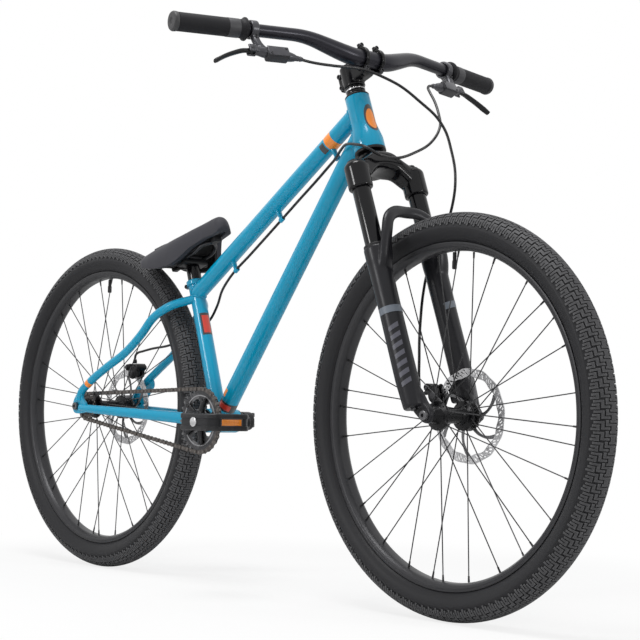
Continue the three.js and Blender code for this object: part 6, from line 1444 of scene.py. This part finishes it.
blade_tall = np.interp(run, [0, 0.1, 0.3, 0.85, 1], [3.9, 3.8, 5.0, 5.6, 4.6])
blade = together(carried(blade_path, oval(blade_tall, blade_wide, 28), reference=(1, 0, 0)),
                 ring(-3.9, 3.9, 2.3, 5.5, 0.6, pin_spot, (0, 1, 0), 32))
for side, turn in (("left", same), ("right", other_side)):
    on_bar = lambda shape: on_steering(turn(moved(shape, grip_start, grip_axes)))
    piece("grip_sleeve_" + side, "steering",
          [(grip_rubber, grip), (band_rubber, grip_band), (end_rubber, grip_end)],
          ["grip_" + side], 50, on_bar)
    piece("lever_casting_" + side, "steering", [
        (lever_grey, lever_cast, nose), (lever_black, tank), (lever_grey, tank_lid),
        (dark_bolts, *lid_screws, *clamp_screws, pin),
    ], ["lever_body_" + side], 60, on_bar)
    piece("lever_hook_" + side, "lever_" + side, [(blade_alloy, blade)],
          ["lever_blade_" + side], place=on_bar)

# ---------------------------------------------------------------- Brake hoses
# Black 5 mm hydraulic hoses: the front one from the right lever round the head to the left leg, the
# rear one from the left lever across the head, along under the top tube and down to the rear caliper.
hose_cover = finish("hose_cover", (0.008, 0.008, 0.009), 0.28, coat=0.1, tint=0.12, size=60, specular=0.3)
front_hose_points = [
    [293.9, -154.3, 931.7], [295.6, -145.5, 930.6], [297, -124, 930], [301, -92, 930.5], [314, -30, 931],
    [328, 5, 920], [340, 30, 908], [358, 62, 882], [378, 84, 855], [390, 93, 832], [402, 97, 796],
    [410, 99, 760], [411, 99, 733], [405, 99, 700], [390, 98, 660], [372, 92, 620], [366, 80, 585],
    [370, 66, 545], [379, 52, 500], [386, 43, 460], [388.5, 41, 430], [389.5, 40, 406], [390.6, 40, 388],
    [392.4, 40, 377], [395.9, 40, 371], [400.2, 40, 369.9], [404.9, 40, 371.6]]
rear_hose_points = [
    [293.9, 154.3, 931.7], [295.8, 145.2, 930.2], [300.5, 137.5, 925], [309, 134, 915.5], [323, 131, 899],
    [347, 120, 868], [363, 108, 847], [371, 92, 826], [371, 72, 806], [366, 45, 790], [359, 15, 778],
    [356, -10, 776], [352, -31, 780], [337, -46, 792], [306, -44, 800], [272, -34, 804], [244, -21, 798],
    [218, -9, 788], [192, -1, 778], [160, 0, 757], [108, 0, 723], [54, 0, 687], [-28, 0, 633], [-92, 0, 591],
    [-128, 8, 566], [-160, 22, 540], [-205, 36, 510], [-273, 42, 484], [-355, 47, 464], [-420, 50, 458],
    [-456, 51.5, 453], [-474, 52, 450], [-481.5, 52, 446.2], [-483.9, 52, 441.5], [-483.9, 52, 437]]
front_line, rear_line = smooth_line(front_hose_points, 220), smooth_line(rear_hose_points, 360)
front_hose = piece("front_brake_hose", None, [(hose_cover, carried(front_line, oval(2.5, sides=16)))],
                   ["front_hose"])
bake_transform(front_hose)
rear_hose = piece("rear_brake_hose", None, [(hose_cover, carried(rear_line, oval(2.5, sides=16)))],
                  ["rear_hose"])
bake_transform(rear_hose)
clip_spot, clip_way = front_line[132], front_line[134] - front_line[130]
leg_point = head_top + np.array([leg_forward - 19, leg_side, -352]) @ head_axes
clip = together(ring(-4, 4, 2.6, 4.4, 0.6, clip_spot, clip_way, 24),
                rods([clip_spot], [leg_point], (2.2, 3.2), 14))
piece("hose_leg_clip", "lowers", [(seal_rubber, clip)], ())
